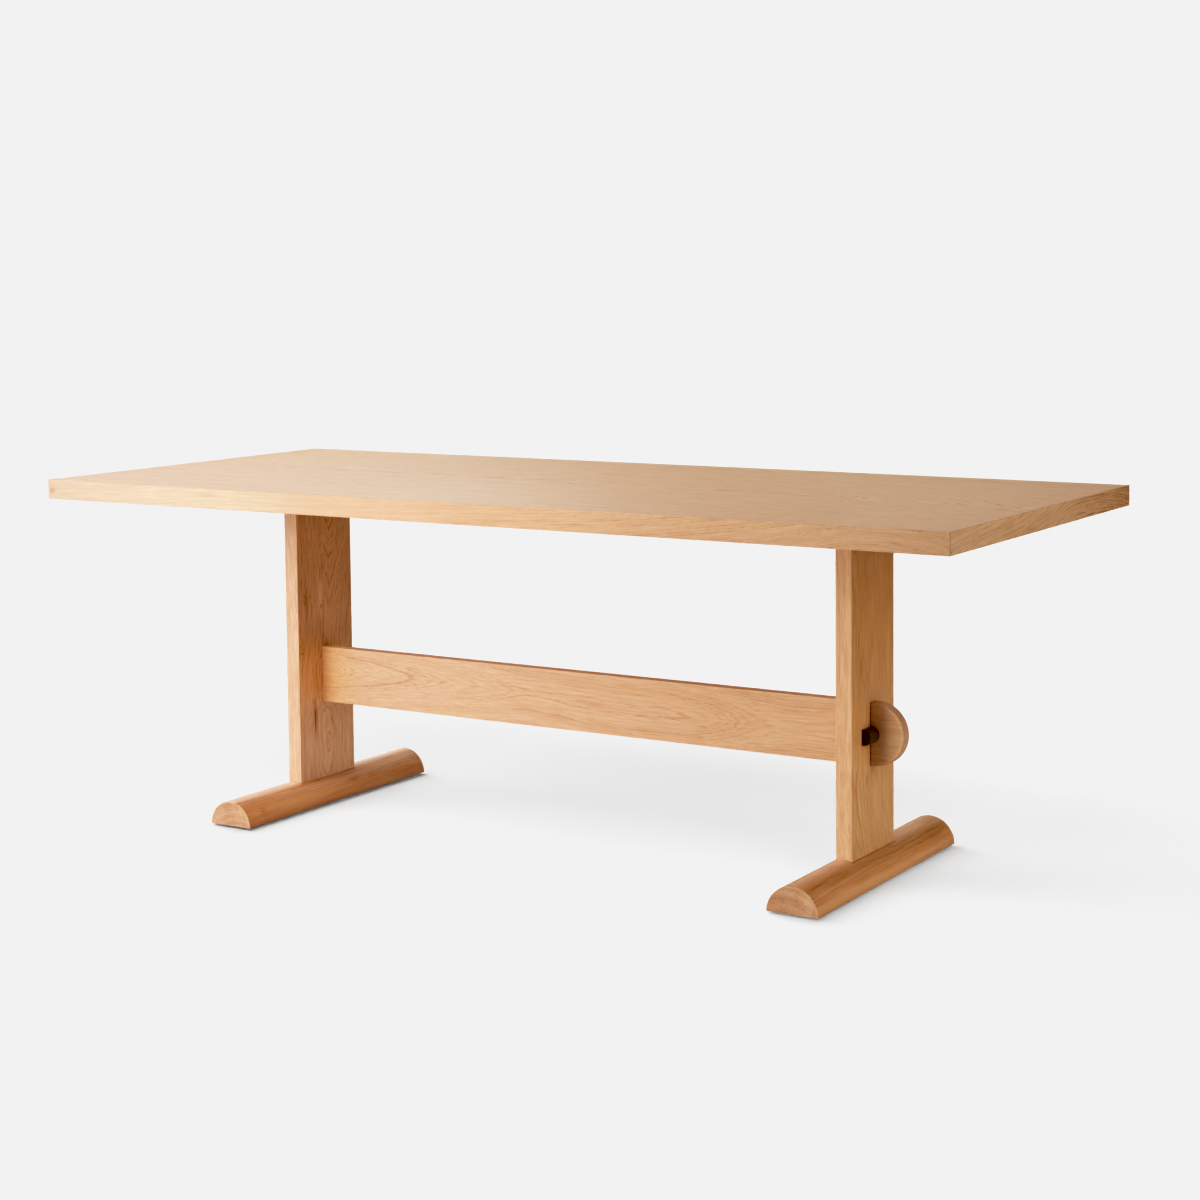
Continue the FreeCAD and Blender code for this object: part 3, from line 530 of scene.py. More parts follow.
def lathe(profile, x, y, z, sides=48, wobble=None, into=None):
    """Turned solid: profile is (radius, height) from the axis out and back to it."""
    bm = into if into is not None else bmesh.new()
    rings = []
    for r, h in profile:
        if r < 1e-6:
            rings.append([bm.verts.new((x, y, z + h))])
        else:
            ring = []
            for i in range(sides):
                a = 2 * math.pi * i / sides
                rr = r + (wobble(a, r, h) if wobble else 0.0)
                ring.append(bm.verts.new((x + rr * math.cos(a), y + rr * math.sin(a), z + h)))
            rings.append(ring)
    for a, b in zip(rings, rings[1:]):
        if len(a) == 1 and len(b) == 1:
            continue
        for i in range(sides):
            j = (i + 1) % sides
            if len(a) == 1:
                bm.faces.new([a[0], b[j], b[i]])
            elif len(b) == 1:
                bm.faces.new([a[i], a[j], b[0]])
            else:
                bm.faces.new([a[i], a[j], b[j], b[i]])
    return bm


# ================================================================ dimensions
L, W, T, H = 2134.0, 914.0, 42.0, 760.0
HX, HY = L / 2, W / 2
UNDER = H - T
LIP = 14.0
PX, PT, PW = 688.0, 35.0, 192.0
POST_OUT = PX + PT / 2
FOOT_L, FOOT_R, FOOT_H, BASE = 632.0, 55.0, 53.5, 4.5
POST_Z0 = BASE + FOOT_H - 38.0
BEAR_D, BEAR_L, BEAR_W = 30.0, 600.0, 90.0
BEAR_Z = UNDER - BEAR_D
STR_Z0, STR_H, STR_T = 230.0, 126.0, 28.0
AXIS = STR_Z0 + STR_H / 2
SR = STR_H / 2
REACH = POST_OUT + 9.0

# =============================================================== wood recipes
# Colour multipliers per board, partly the board's own tone and partly painted light: they lift the shaded boards, such
# as the right edge and the posts, and lower the top. The drift curves below are partly painted light as well: the front
# edge paler towards its left end, nearer the lamps, and the left post darker upward under the top.
TONE = {
    "top": (0.953, 0.922, 0.900), "front": (1.01, 1.03, 1.00), "right": (1.10, 1.155, 1.20),
    "stretcher": (1.03, 1.08, 1.09), "lpost": (1.095, 1.14, 1.135), "rpost": (1.13, 1.15, 1.12),
    "lfoot": (0.955, 0.95, 0.935), "rfoot": (1.01, 0.99, 0.97), "bearer": (0.97, 0.96, 0.95),
}


def foot_rim_highlight_corner_shade(g, u, v, w):
    """A foot's painted highlight along its rounded end rims, and painted shade in the corner against its post."""
    up = w + 27.0
    out = g.math("SQRT", v * v + up * up)
    # painted highlight on the rounded end rims
    rim = g.smooth(g.math("ABSOLUTE", u), 313.4, 314.6) * g.smooth(out, 51.4, 53.4)
    # painted shade in the corner against the post
    corner = g.smooth(g.math("ABSOLUTE", u), 101.0, 97.0) * g.smooth(g.math("ABSOLUTE", v), 23.0, 18.5)
    return rim - corner * 1.5


def foot_low_painted_bounce(g, u, v, w):
    """The steep lower flank of a foot, tinted warmer: painted light from the floor."""
    up = w + 27.0
    return g.smooth(g.math("ABSOLUTE", v), 37.0, 49.0) * g.smooth(g.math("SQRT", v * v + up * up), 50.5, 53.0)


def foot_crown_painted_sheen(g, u, v, w):
    """The top of a foot's round, tinted paler and bluer: a painted sheen."""
    up = w + 27.0
    return g.smooth(g.math("ABSOLUTE", v), 22.0, 8.0) * g.smooth(g.math("SQRT", v * v + up * up), 50.5, 53.0)


def tenon_painted_light_end_grain(g, u, v, w):
    """The half-round ends: a painted highlight inside the rim, darker end grain on the rim, painted shade along the
    seam at the post and the post's painted shadow next to it.
    """
    au, aw = g.math("ABSOLUTE", u), g.math("ABSOLUTE", w)
    along = g.math("MAXIMUM", au - REACH, 0.0)
    out = g.math("SQRT", along * along + v * v)
    tenon = g.smooth(au, POST_OUT - 0.5, POST_OUT)
    # painted highlight just inside the rim, where it starts to round
    pale = g.smooth(out, SR - 5.6, SR - 4.2) * g.smooth(out, SR - 1.4, SR - 2.8) * g.smooth(aw, 11.2, 12.4)
    # the rim's end grain, darker
    edge = g.smooth(out, SR - 1.0, SR - 0.3) * g.smooth(aw, 12.6, 11.4)
    # painted shade along the seam at the post
    seam = g.smooth(au, POST_OUT + 3.0, POST_OUT + 1.0)
    # painted shadow of the post on the tenon's face
    near = g.smooth(au, POST_OUT + 36.0, POST_OUT)
    return (pale - edge * 0.9 - seam * 3.0 - near * 0.9) * tenon


def tenon_part(g, u, v, w):
    """Where the stretcher stands out past its posts."""
    return g.smooth(g.math("ABSOLUTE", u), POST_OUT - 1.0, POST_OUT + 1.0)


def rail_top_painted_light(g, u, v, w):
    """The stretcher's upper face between the posts, made much paler: painted light."""
    return g.smooth(v, 61.6, 62.8) * g.smooth(g.math("ABSOLUTE", u), 671.0, 669.0)


def mitre_marks(half):
    """Edge strips: the dark line of the mitre at each end."""
    def marks(g, u, v, w):
        return g.smooth(g.math("ABSOLUTE", u), half - 1.9, half - 0.6) * -1.8
    return marks


def post_marks(g, u, v, w):
    """The narrow near side of a post, a little paler."""
    return g.smooth(v, -94.4, -95.6) * 0.5


oak_top = oak("oak_top", (0, 1, 2), (0, 0, H), L, 1, [(0, 70), (0.3, 92), (0.62, 84), (1, 118)],
              [(0, 40), (0.5, 10), (1, -45)], ring=3.0, tone=TONE["top"], sway=2.2, line=0.20, hue=0.25, pore=0.25, rough=0.44,
              fibre=0.58, fine=0.30,
              drift=[(0, 0.08), (0.1, 0.03), (0.3, 0.03), (0.45, -0.01), (0.65, -0.03), (0.85, 0.01), (1, 0.11)],
              features=[(640, -95, 120, 40, 9, 0.0), (250, 160, 160, 36, -8, 0.0), (-420, -60, 30, 9, 2, 0.10),
                        (-640, 60, 60, 16, 0, -0.10)])
oak_back = oak("oak_back", (0, 1, 2), (0, 0, UNDER), L, 2, [(0, 86), (0.5, 102), (1, 80)],
               [(0, -60), (0.5, 20), (1, 70)], ring=3.1, tone=TONE["bearer"], sway=2.0, line=0.22)
oak_front = oak("oak_front", (0, 2, 1), (0, -HY, H - T / 2), L, 3,
                [(0, 34), (0.6, 30), (0.86, 26), (0.93, 20), (1, 26)],
                [(0, -150), (0.5, -120), (0.65, -104), (0.8, -74), (0.9, -42), (0.935, -34), (0.965, -37), (1, -46)],
                ring=2.8, tone=TONE["front"], line=0.24, sway=0.8, fibre=0.52, fine=0.26, marks_and_painted_light=mitre_marks(HX),
                fade=[(0, 0.4), (0.42, 0.45), (0.58, 0.9), (1, 1.15)],
                drift=[(0, -0.03), (0.1, -0.10), (0.22, -0.14), (0.33, -0.02), (0.45, 0.02), (0.6, 0.05),
                       (0.76, 0.10), (0.87, 0.03), (1, 0.04)],
                features=[(-605, 8, 22, 3.5, 0, 0.20), (-1055, -3, 8, 6, 0, 0.35), (-1010, -8, 30, 2.5, 0, 0.14)])
oak_backedge = oak("oak_backedge", (0, 2, 1), (0, HY, H - T / 2), L, 4,
                   [(0, -34), (0.3, -48), (0.6, -40), (1, -60)],
                   [(0, 70), (0.4, 50), (0.7, -60), (1, -80)], ring=3.0, tone=TONE["front"],
                   marks_and_painted_light=mitre_marks(HX))
oak_right = oak("oak_right", (1, 2, 0), (HX, 0, H - T / 2), W, 5,
                [(0, -40), (0.5, -34), (0.7, -32), (1, -40)],
                [(0, -112), (0.5, -68), (0.6, -46), (0.7, -38), (0.85, -40), (1, -50)],
                ring=2.9, tone=TONE["right"], marks_and_painted_light=mitre_marks(HY), line=0.46, sway=0.9, fibre=0.80, fine=0.36,
                drift=[(0, -0.06), (0.35, -0.05), (0.5, -0.03), (0.67, 0.03), (0.84, 0.14), (1, 0.24)],
                features=[(150, -9, 26, 5, 0, 0.12), (-90, -12, 30, 4, 0, 0.10)])
oak_left = oak("oak_left", (1, 2, 0), (-HX, 0, H - T / 2), W, 6,
               [(0, 40), (0.5, 52), (1, 44)], [(0, 80), (0.5, 56), (1, 40)], ring=3.0, tone=TONE["front"],
               marks_and_painted_light=mitre_marks(HY))
oak_stretcher = oak("oak_stretcher", (0, 2, 1), (0, 0, AXIS), 1556.0, 7,
                    [(0, 60), (0.05, 40), (0.069, 30), (0.121, 37), (0.198, 46), (0.31, 58), (0.379, 65),
                     (0.44, 69.4), (0.5, 68.3), (0.569, 67.8), (0.638, 68.2), (0.69, 70.5), (0.741, 77),
                     (0.802, 87), (0.845, 90), (0.925, 86), (0.957, 60), (1, 58)],
                    [(0, 70), (0.05, 60), (0.075, 10), (0.241, 12), (0.414, 9), (0.586, -3), (0.759, -5),
                     (0.925, -2), (0.957, -70), (1, -74)],
                    ring=2.9, tone=TONE["stretcher"], line=0.18, sway=0.5, jag=1.5, sharp=0.10, fibre=0.62, fine=0.26,
                    drift=[(0, 0), (0.13, -0.03), (0.3, -0.02), (0.5, 0.05), (0.7, 0.06), (0.88, 0), (1, 0)],
                    # painted light: the tenons tinted paler and bluer, the rail's upper face made much paler; the tenon
                    # marks are painted highlight, darker end grain and painted shade
                    marks_and_painted_light=tenon_painted_light_end_grain, tints=((tenon_part, (1.0, 1.05, 1.16)), (rail_top_painted_light, (1.26, 1.33, 1.46))))
oak_lpost = oak("oak_lpost", (2, 1, 0), (-PX, 0, 364), 700.0, 8,
                [(0, 56), (0.18, 46), (0.36, 56), (0.55, 60), (0.7, 55), (0.85, 45), (1, 33)],
                [(0, 0), (0.2, 3), (0.45, 0), (0.65, 14), (0.85, 20), (1, 20)],
                ring=2.7, tone=TONE["lpost"], line=0.28, fibre=0.86, fine=0.28, flank=0.7, cloud=0.16, marks_and_painted_light=post_marks,
                drift=[(0, -0.02), (0.17, -0.03), (0.28, 0.03), (0.55, 0.04), (0.8, 0.10), (1, 0.10)],
                features=[(105, -18, 34, 8, -5, -0.24), (100, -68, 42, 5, 3, 0.26), (116, -84, 34, 3, 0, 0.20),
                          (40, -62, 60, 28, 13, 0.05), (10, -80, 40, 7, 5, 0.14), (-150, -43, 24, 5.5, 0, 0.34),
                          (-184, -41, 30, 5.0, 0, 0.46), (-228, 2, 30, 12, 6, 0.06), (-205, 30, 14, 6, 0, 0.10)])
oak_rpost = oak("oak_rpost", (2, 1, 0), (PX, 0, 364), 700.0, 9,
                [(0, -48), (0.3, -58), (0.6, -52), (1, -60)],
                [(0, -60), (0.3, -84), (0.6, -96), (1, -90)],
                ring=2.9, tone=TONE["rpost"], line=0.22, fibre=0.82, fine=0.26, cloud=0.20, marks_and_painted_light=post_marks,
                drift=[(0, -0.02), (0.2, 0.0), (0.45, 0.02), (0.7, 0.04), (1, -0.02)],
                features=[(68, -48, 46, 14, 6, 0.12), (-160, -28, 9, 5, 0, 0.30), (-60, -70, 70, 16, -5, 0.0),
                          (-215, -28, 24, 4, 0, 0.10)])
ENDS = [(0, 2.4), (0.004, 2.4), (0.012, 1), (1, 1)]
# Most of the feet's features below are painted light: the paler strips along the crown are a painted sheen, the paler
# strips low on the flanks painted light from the floor, and the darker and paler bands on the upper flanks painted
# shade and light; the two that push the rings are grain.
oak_lfoot = oak("oak_lfoot", (1, 0, 2), (-PX, 0, 30), 632.0, 10,
                [(0, -99), (0.4, -100.5), (0.7, -99), (1, -100)], [(0, 22), (0.5, 18), (1, 14)],
                ring=3.4, tone=TONE["lfoot"], line=0.14, sway=0.5, fibre=0.60, cloud=0.26, zone=0.34, marks_and_painted_light=foot_rim_highlight_corner_shade,
                fade=ENDS, drift=[(0, -0.03), (0.004, -0.03), (0.013, 0), (1, 0)],
                tints=((foot_low_painted_bounce, (1.05, 0.985, 0.94)), (foot_crown_painted_sheen, (1.0, 1.04, 1.10))), features=[
                    (-262, 47, 9, 3, 2, 0.24), (62, 42, 26, 7, 3, 0.22), (-180, 29, 120, 6, 0, -0.14),
                    (250, 29, 80, 7, 0, -0.30), (30, 29, 50, 6, 0, 0.16), (120, 42, 30, 7, 0, 0.14),
                    (270, 41, 50, 6, 0, -0.10), (190, 42, 60, 7, 0, 0.08), (230, 49, 90, 6, 0, 0.08),
                    (-150, 50, 170, 8, 0, -0.28), (170, 54, 160, 3, 0, -0.22), (150, 34, 60, 5, 0, -0.06),
                    (210, -5, 110, 9, 0, -0.16), (-300, -5, 60, 8, 0, 0.08)])
oak_rfoot = oak("oak_rfoot", (1, 0, 2), (PX, 0, 30), 632.0, 11,
                [(0, -98), (0.4, -96.8), (0.7, -98.2), (1, -97)], [(0, -16), (0.5, -12), (1, -8)],
                ring=3.4, tone=TONE["rfoot"], line=0.14, sway=0.5, fibre=0.62, cloud=0.26, zone=0.34, marks_and_painted_light=foot_rim_highlight_corner_shade,
                fade=ENDS, tints=((foot_low_painted_bounce, (1.05, 0.94, 0.885)), (foot_crown_painted_sheen, (1.01, 1.07, 1.15))), features=[
                    (-200, 29, 120, 8, 0, 0.28), (30, 33, 110, 9, 0, 0.16), (250, 35, 80, 10, 0, 0.22),
                    (130, 33, 60, 8, 0, 0.06), (-210, 22, 110, 6, 0, 0.04), (-230, 41, 70, 5, 0, -0.12),
                    (200, 10, 120, 9, 0, -0.10), (200, 48, 140, 6, 0, 0.10), (240, 29, 60, 5, 0, 0.06),
                    (0, 54, 460, 3.2, 0, -0.42), (-210, -7, 120, 11, 0, -0.30), (290, 10, 60, 16, 0, 0.10),
                    (-316.5, 32, 3, 12, 0, -0.34), (-316.5, -10, 3, 10, 0, 0.10)])
oak_bearer_l = oak("oak_bearer_l", (1, 0, 2), (-PX, 0, BEAR_Z), 600.0, 12,
                   [(0, 60), (0.5, 72), (1, 66)], [(0, 20), (0.5, 0), (1, -14)], tone=TONE["bearer"])
oak_bearer_r = oak("oak_bearer_r", (1, 0, 2), (PX, 0, BEAR_Z), 600.0, 13,
                   [(0, 70), (0.5, 58), (1, 62)], [(0, -22), (0.5, 4), (1, 18)], tone=TONE["bearer"])
walnut_l = walnut("walnut_l", (-POST_OUT - 10, 0, AXIS), 1)
walnut_r = walnut("walnut_r", (POST_OUT + 10, 0, AXIS), 2)
steel = metal("zinc_steel", lin(206, 207, 209), lin(140, 141, 144), 2, 0.34, 1)
brass = metal("brass", lin(222, 187, 112), lin(150, 112, 58), 2, 0.34, 2)
glide_nylon = nylon("glide_nylon", 1.0)
core_mat = core_wood("panel_core")


# ==================================================================== the top
def plate(name, z0, z1, arris, mat, node, holes=()):
    """Thin sheet over the whole top, with one rim eased."""
    top_side = z1 > H - 0.01
    bm = block(-HX, HX, -HY, HY, z0, z1)
    if holes:
        bm = carve(bm, [rod(x, y, z0 - 1, z1 + 1, r) for x, y, r in holes])
    rim = z1 if top_side else z0
    if arris:
        ease(bm, lambda a, b: abs(a.z - rim) < 1e-6 and abs(b.z - rim) < 1e-6
             and (abs(abs(a.x) - HX) < 1e-6 or abs(abs(a.y) - HY) < 1e-6)
             and (abs(abs(b.x) - HX) < 1e-6 or abs(abs(b.y) - HY) < 1e-6), arris)
    return finish_mesh(name, bm, mat, "table", node)


insert_spots = [(sx * PX + ox, sy * 160.0) for sx in (-1, 1) for ox in (-22.0, 22.0) for sy in (-1, 1)]
plate("top_face", H - 1.0, H, 0.55, oak_top, "top_face_veneer")
plate("top_back", UNDER, UNDER + 1.0, 0.35, oak_back, "top_back_veneer",
      [(x, y, 8.05) for x, y in insert_spots])


def lipping(name, side, mat, node):
    """Mitred edge strip. The mitre's two long arrises are just broken."""
    z0, z1 = UNDER + 1.0, H - 1.0
    if side in ("front", "back"):
        s = -1 if side == "front" else 1
        out = [(-HX, s * HY), (HX, s * HY), (HX - LIP, s * (HY - LIP)), (-(HX - LIP), s * (HY - LIP))]
    else:
        s = -1 if side == "left" else 1
        out = [(s * HX, -HY), (s * HX, HY), (s * (HX - LIP), HY - LIP), (s * (HX - LIP), -(HY - LIP))]
    bm = prism(out, 2, z0, z1)
    ease(bm, lambda a, b: abs(a.x - b.x) < 1e-6 and abs(a.y - b.y) < 1e-6
         and abs(abs(a.x) - HX) < 1e-6 and abs(abs(a.y) - HY) < 1e-6, 0.30, 2)
    return finish_mesh(name, bm, mat, "table", node)


lipping("edge_front", "front", oak_front, "lipping_front")
lipping("edge_back", "back", oak_backedge, "lipping_back")
lipping("edge_left", "left", oak_left, "lipping_left")
lipping("edge_right", "right", oak_right, "lipping_right")
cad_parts["top_core"].data.materials.clear()
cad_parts["top_core"].data.materials.append(core_mat)


# ================================================================= the posts
def post(name, sx, mat, node):
    x0, x1 = sx * PX - PT / 2, sx * PX + PT / 2
    sh = BEAR_Z
    ztop = BEAR_Z + 20.0
    xs = [x0, sx * PX - 9.5, sx * PX + 9.5, x1]
    ys = [-PW / 2, -75.0, -STR_T / 2, STR_T / 2, 75.0, PW / 2]
    zs = [POST_Z0, STR_Z0, STR_Z0 + STR_H, sh, ztop]

    def solid(x, y, z):
        if z > sh:
            return abs(x - sx * PX) < 9.5 and abs(y) < 75
        if STR_Z0 < z < STR_Z0 + STR_H and abs(y) < STR_T / 2:
            return False
        return True

    bm = cells(xs, ys, zs, solid)
    # long corners
    ease(bm, lambda a, b: abs(a.z - b.z) > 100 and abs(abs(a.y) - PW / 2) < 1e-6
         and abs(abs(b.y) - PW / 2) < 1e-6, 1.1)
    # rim of the mortise on both faces, barely broken
    ease(bm, lambda a, b: abs(a.x - b.x) < 1e-6 and abs(a.y) < STR_T / 2 + 0.01 and abs(b.y) < STR_T / 2 + 0.01
         and STR_Z0 - 0.01 <= a.z <= STR_Z0 + STR_H + 0.01 and STR_Z0 - 0.01 <= b.z <= STR_Z0 + STR_H + 0.01, 0.35, 2)
    return finish_mesh(name, bm, mat, "table", node)


post("post_left", -1, oak_lpost, "left_post")
post("post_right", 1, oak_rpost, "right_post")


# ================================================================== the feet
def foot(name, sx, mat, node):
    """Half-round bar with its end arrises rounded, housed for the post."""
    drop = FOOT_R - FOOT_H
    a0 = math.asin(drop / FOOT_R)
    n = 72
    arc = [(sx * PX + FOOT_R * math.cos(a0 + (math.pi - 2 * a0) * i / n),
            BASE - drop + FOOT_R * math.sin(a0 + (math.pi - 2 * a0) * i / n)) for i in range(n + 1)]
    bm = prism(arc, 1, -FOOT_L / 2, FOOT_L / 2)
    # long lower arrises first, then both ends
    ease(bm, lambda a, b: abs(a.y - b.y) > 100 and a.z < BASE + 0.01 and b.z < BASE + 0.01, 0.8, 2)
    ease(bm, lambda a, b: abs(a.y - b.y) < 1e-6 and abs(abs(a.y) - FOOT_L / 2) < 1e-6
         and (a.z > BASE + 0.9 or b.z > BASE + 0.9), 1.6, 4)
    cut = [block(sx * PX - PT / 2, sx * PX + PT / 2, -PW / 2, PW / 2, POST_Z0, BASE + FOOT_H + 5)]
    for sy in (-1, 1):
        cut.append(rod(sx * PX, sy * 55.0, BASE - 1, BASE + 6.5, 7.8))
        cut.append(rod(sx * PX, sy * 55.0, BASE + 5, POST_Z0 + 1, 4.2, 20))
    bm = carve(bm, cut)
    return finish_mesh(name, bm, mat, "table", node, sharp=34)


foot("foot_left", -1, oak_lfoot, "left_foot")
foot("foot_right", 1, oak_rfoot, "right_foot")


# =============================================================== the bearers
def bearer(name, sx, mat, node):
    half, flat, tip = BEAR_L / 2, BEAR_L / 2 - 100.0, BEAR_D - 14.0
    z = BEAR_Z
    out = [(-flat, z), (flat, z), (half, z + tip), (half, z + BEAR_D), (-half, z + BEAR_D), (-half, z + tip)]
    bm = prism(out, 0, sx * PX - BEAR_W / 2, sx * PX + BEAR_W / 2)
    ease(bm, lambda a, b: min(a.z, b.z) < z + BEAR_D - 0.5 and (abs(a.x - b.x) < 1e-6 or a.z < z + tip + 1), 1.1)
    cut = [block(sx * PX - 9.5, sx * PX + 9.5, -75, 75, z - 1, z + 20)]
    for ox in (-22.0, 22.0):
        for sy in (-1, 1):
            cut.append(rod(sx * PX + ox, sy * 160.0, z - 1, z + 12.0, 13.0, 48))
            cut.append(rod(sx * PX + ox, sy * 160.0, z + 11, z + BEAR_D + 1, 4.5, 24))
    bm = carve(bm, cut)
    return finish_mesh(name, bm, mat, "table", node)


bearer("bearer_left", -1, oak_bearer_l, "left_bearer")
bearer("bearer_right", 1, oak_bearer_r, "right_bearer")


# ============================================================= the stretcher
def half_section(flat_x, straight, radius, side, n=28):
    """D outline in X and Z round the stretcher's axis."""
    pts = [(flat_x, AXIS - side * radius)]
    cx = flat_x + side * straight
    for i in range(n + 1):
        a = -math.pi / 2 + math.pi * i / n
        pts.append((cx + side * radius * math.cos(a), AXIS + side * radius * math.sin(a)))
    pts.append((flat_x, AXIS + side * radius))
    return pts


def stretcher():
    n = 44
    out = []
    for i in range(n + 1):
        a = -math.pi / 2 + math.pi * i / n
        out.append((REACH + SR * math.cos(a), AXIS + SR * math.sin(a)))
    for i in range(n + 1):
        a = math.pi / 2 + math.pi * i / n
        out.append((-REACH + SR * math.cos(a), AXIS + SR * math.sin(a)))
    bm = prism(out, 1, -STR_T / 2, STR_T / 2)
    # split the long straight runs where the posts' outer faces are, so that the
    # tenons' rounder arris can start there
    for x in (-POST_OUT, POST_OUT, -(PX - PT / 2), PX - PT / 2):
        bmesh.ops.bisect_plane(bm, geom=bm.verts[:] + bm.edges[:] + bm.faces[:], plane_co=(x, 0, 0), plane_no=(1, 0, 0))
    rim = POST_OUT - 0.01

    def on_rim(a, b):
        return abs(a.y - b.y) < 1e-6 and (min(a.x, b.x) > rim or max(a.x, b.x) < -rim)

    ease(bm, on_rim, 3.2, 5)
    inner = PX - PT / 2 + 0.01
    ease(bm, lambda a, b: abs(a.y - b.y) < 1e-6 and abs(abs(a.y) - STR_T / 2) < 1e-6 and abs(a.z - b.z) < 1e-6
         and abs(a.x) < inner and abs(b.x) < inner, 1.1)
    cut = []
    for side in (1, -1):
        pts = half_section(side * (POST_OUT - 2.5), 6.5, 16.3, side)
        cut.append(prism(pts, 1, -STR_T, STR_T))
    bm = carve(bm, cut)
    return finish_mesh("stretcher_board", bm, oak_stretcher, "table", "stretcher", sharp=34)


stretcher()


# ================================================================== the keys
def key(name, side, mat, body, node):
    pts = half_section(side * POST_OUT, 4.0, 16.0, side)
    bm = prism(pts, 1, -52.0, 52.0)
    ease(bm, lambda a, b: abs(a.y - b.y) < 1e-6, 1.2, 3)
    ease(bm, lambda a, b: abs(a.y - b.y) > 50 and abs(a.x - side * POST_OUT) < 1e-4
         and abs(b.x - side * POST_OUT) < 1e-4, 0.5, 2)
    return finish_mesh(name, bm, mat, body, node, sharp=34)


key("key_left", -1, walnut_l, "left_key", "left_key")
key("key_right", 1, walnut_r, "right_key", "right_key")


# ============================================================= the fasteners
def bolts():
    """M8 socket heads: knurled sides, chamfered rims and a hexagon socket."""
    z = BEAR_Z + 2.0
    bm = bmesh.new()

    def knurl(a, r, h):
        return 0.10 * math.cos(36 * a) if r > 6.3 and 0.9 < h < 7.2 else 0.0

    for x, y in insert_spots:
        sides = 144
        socket = 3.46
        ring = []
        for h, shape in ((4.0, "hex"), (0.35, "hex"), (0.0, "cham")):
            loop = []
            for i in range(sides):
                a = 2 * math.pi * i / sides
                flat = socket * math.cos(math.pi / 6) / math.cos((a % (math.pi / 3)) - math.pi / 6)
                r = flat if shape == "hex" else max(flat, 3.55)
                loop.append(bm.verts.new((x + r * math.cos(a), y + r * math.sin(a), z + h)))
            ring.append(loop)
        bm.faces.new(list(reversed(ring[0])))
        for a, b in zip(ring, ring[1:]):
            for i in range(sides):
                j = (i + 1) % sides
                bm.faces.new([a[i], a[j], b[j], b[i]])
        prof = [(5.7, 0.0), (6.2, 0.15), (6.45, 0.55), (6.42, 1.0), (6.40, 7.0), (6.35, 7.6), (6.1, 8.0), (4.0, 8.0)]
        # thread shown as rings on the part above the head
        h = 10.0
        while h < 42.0:
            prof += [(4.0, h), (3.5, h + 0.62), (4.0, h + 1.25)]
            h += 1.25
        prof += [(3.2, 43.0)]
        loops = [ring[-1]]
        for r, hh in prof:
            loops.append([bm.verts.new((x + (r + knurl(2 * math.pi * i / sides, r, hh)) * math.cos(2 * math.pi * i / sides),
                                        y + (r + knurl(2 * math.pi * i / sides, r, hh)) * math.sin(2 * math.pi * i / sides),
                                        z + hh)) for i in range(sides)])
        for a, b in zip(loops, loops[1:]):
            for i in range(sides):
                j = (i + 1) % sides
                bm.faces.new([a[i], a[j], b[j], b[i]])
        bm.faces.new(loops[-1])
    return finish_mesh("bolts", bm, steel, "table", "bearer_bolts", sharp=25, weighted=False)


def washers():
    bm = bmesh.new()
    for x, y in insert_spots:
        lathe([(4.2, 0.0), (11.7, 0.0), (12.0, 0.3), (12.0, 1.75), (11.75, 2.0), (4.2, 2.0), (4.2, 0.0)],
              x, y, BEAR_Z + 10.0, 64, into=bm)
    return finish_mesh("washers", bm, steel, "table", "bearer_washers", sharp=30, weighted=False)


def glides():
    """Nylon pads: sunk middle, domed sole, rounded rim."""
    bm = bmesh.new()
    for sx in (-1, 1):
        for sy in (-1, 1):
            lathe([(0.0, 2.5), (5.05, 2.5), (5.05, 4.5), (15.0, 4.5), (15.0, 1.3), (14.6, 0.55), (13.9, 0.12), (12.9, 0.0),
                   (0.0, 0.0)], sx * PX, sy * 262.0, 0.0, 72, into=bm)
    return finish_mesh("glides", bm, glide_nylon, "table", "foot_glides", sharp=35, weighted=False)


def screws(name, radius, head, length, z, row, up, node):
    """Wood screws: flat-seated heads with a conical recess, tapering threads and a point."""
    bm = bmesh.new()
    rise = head - radius
    d = 1 if up else -1
    for sx in (-1, 1):
        for sy in (-1, 1):
            x, y = sx * PX, sy * row
            prof = [(0.0, 1.6), (0.9, 1.5), (1.9, 0.1), (head - 0.6, 0.0), (head - 0.05, 0.5), (head, rise * 0.7),
                    (head - 0.3, rise), (radius * 0.80, rise)]
            h = length * 0.36
            prof.append((radius * 0.80, h))
            while h < length - 9.0:
                prof += [(radius * 0.68, h + 0.4), (radius, h + 1.5), (radius * 0.68, h + 2.6)]
                h += 3.0
            prof += [(radius * 0.5, length - 4.0), (0.0, length)]
            lathe([(r, hh * d) for r, hh in prof], x, y, z, 32, into=bm)
    return finish_mesh(name, bm, steel, "table", node, sharp=30, weighted=False)


bolts()
washers()
glides()
screws("screws_foot", 4.0, 7.5, 90.0, BASE + 3.0, 55.0, True, "foot_screws")
screws("screws_bearer", 3.0, 6.0, 80.0, UNDER, 45.0, False, "bearer_screws")
for node, mat in (("threaded_inserts", brass), ("glide_nails", steel)):
    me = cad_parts[node].data
    me.materials.clear()
    me.materials.append(mat)

# ==================================================================== staging
# Radiance of the open floor and of the plain backdrop behind it. The picture
# finish shows all from 1.227 to 1.43 as the same white, so thin shade goes.
OPEN = 1.3600


def stage_mesh(name, bm, shader):
    me = bpy.data.meshes.new(name)
    bm.to_mesh(me)
    bm.free()
    ob = bpy.data.objects.new(name, me)
    scene.collection.objects.link(ob)
    mat = bpy.data.materials.new(name)
    mat.use_nodes = True
    t = mat.node_tree
    t.nodes.clear()
    out = t.nodes.new("ShaderNodeOutputMaterial")
    t.links.new(shader(t), out.inputs[0])
    me.materials.append(mat)
    return ob


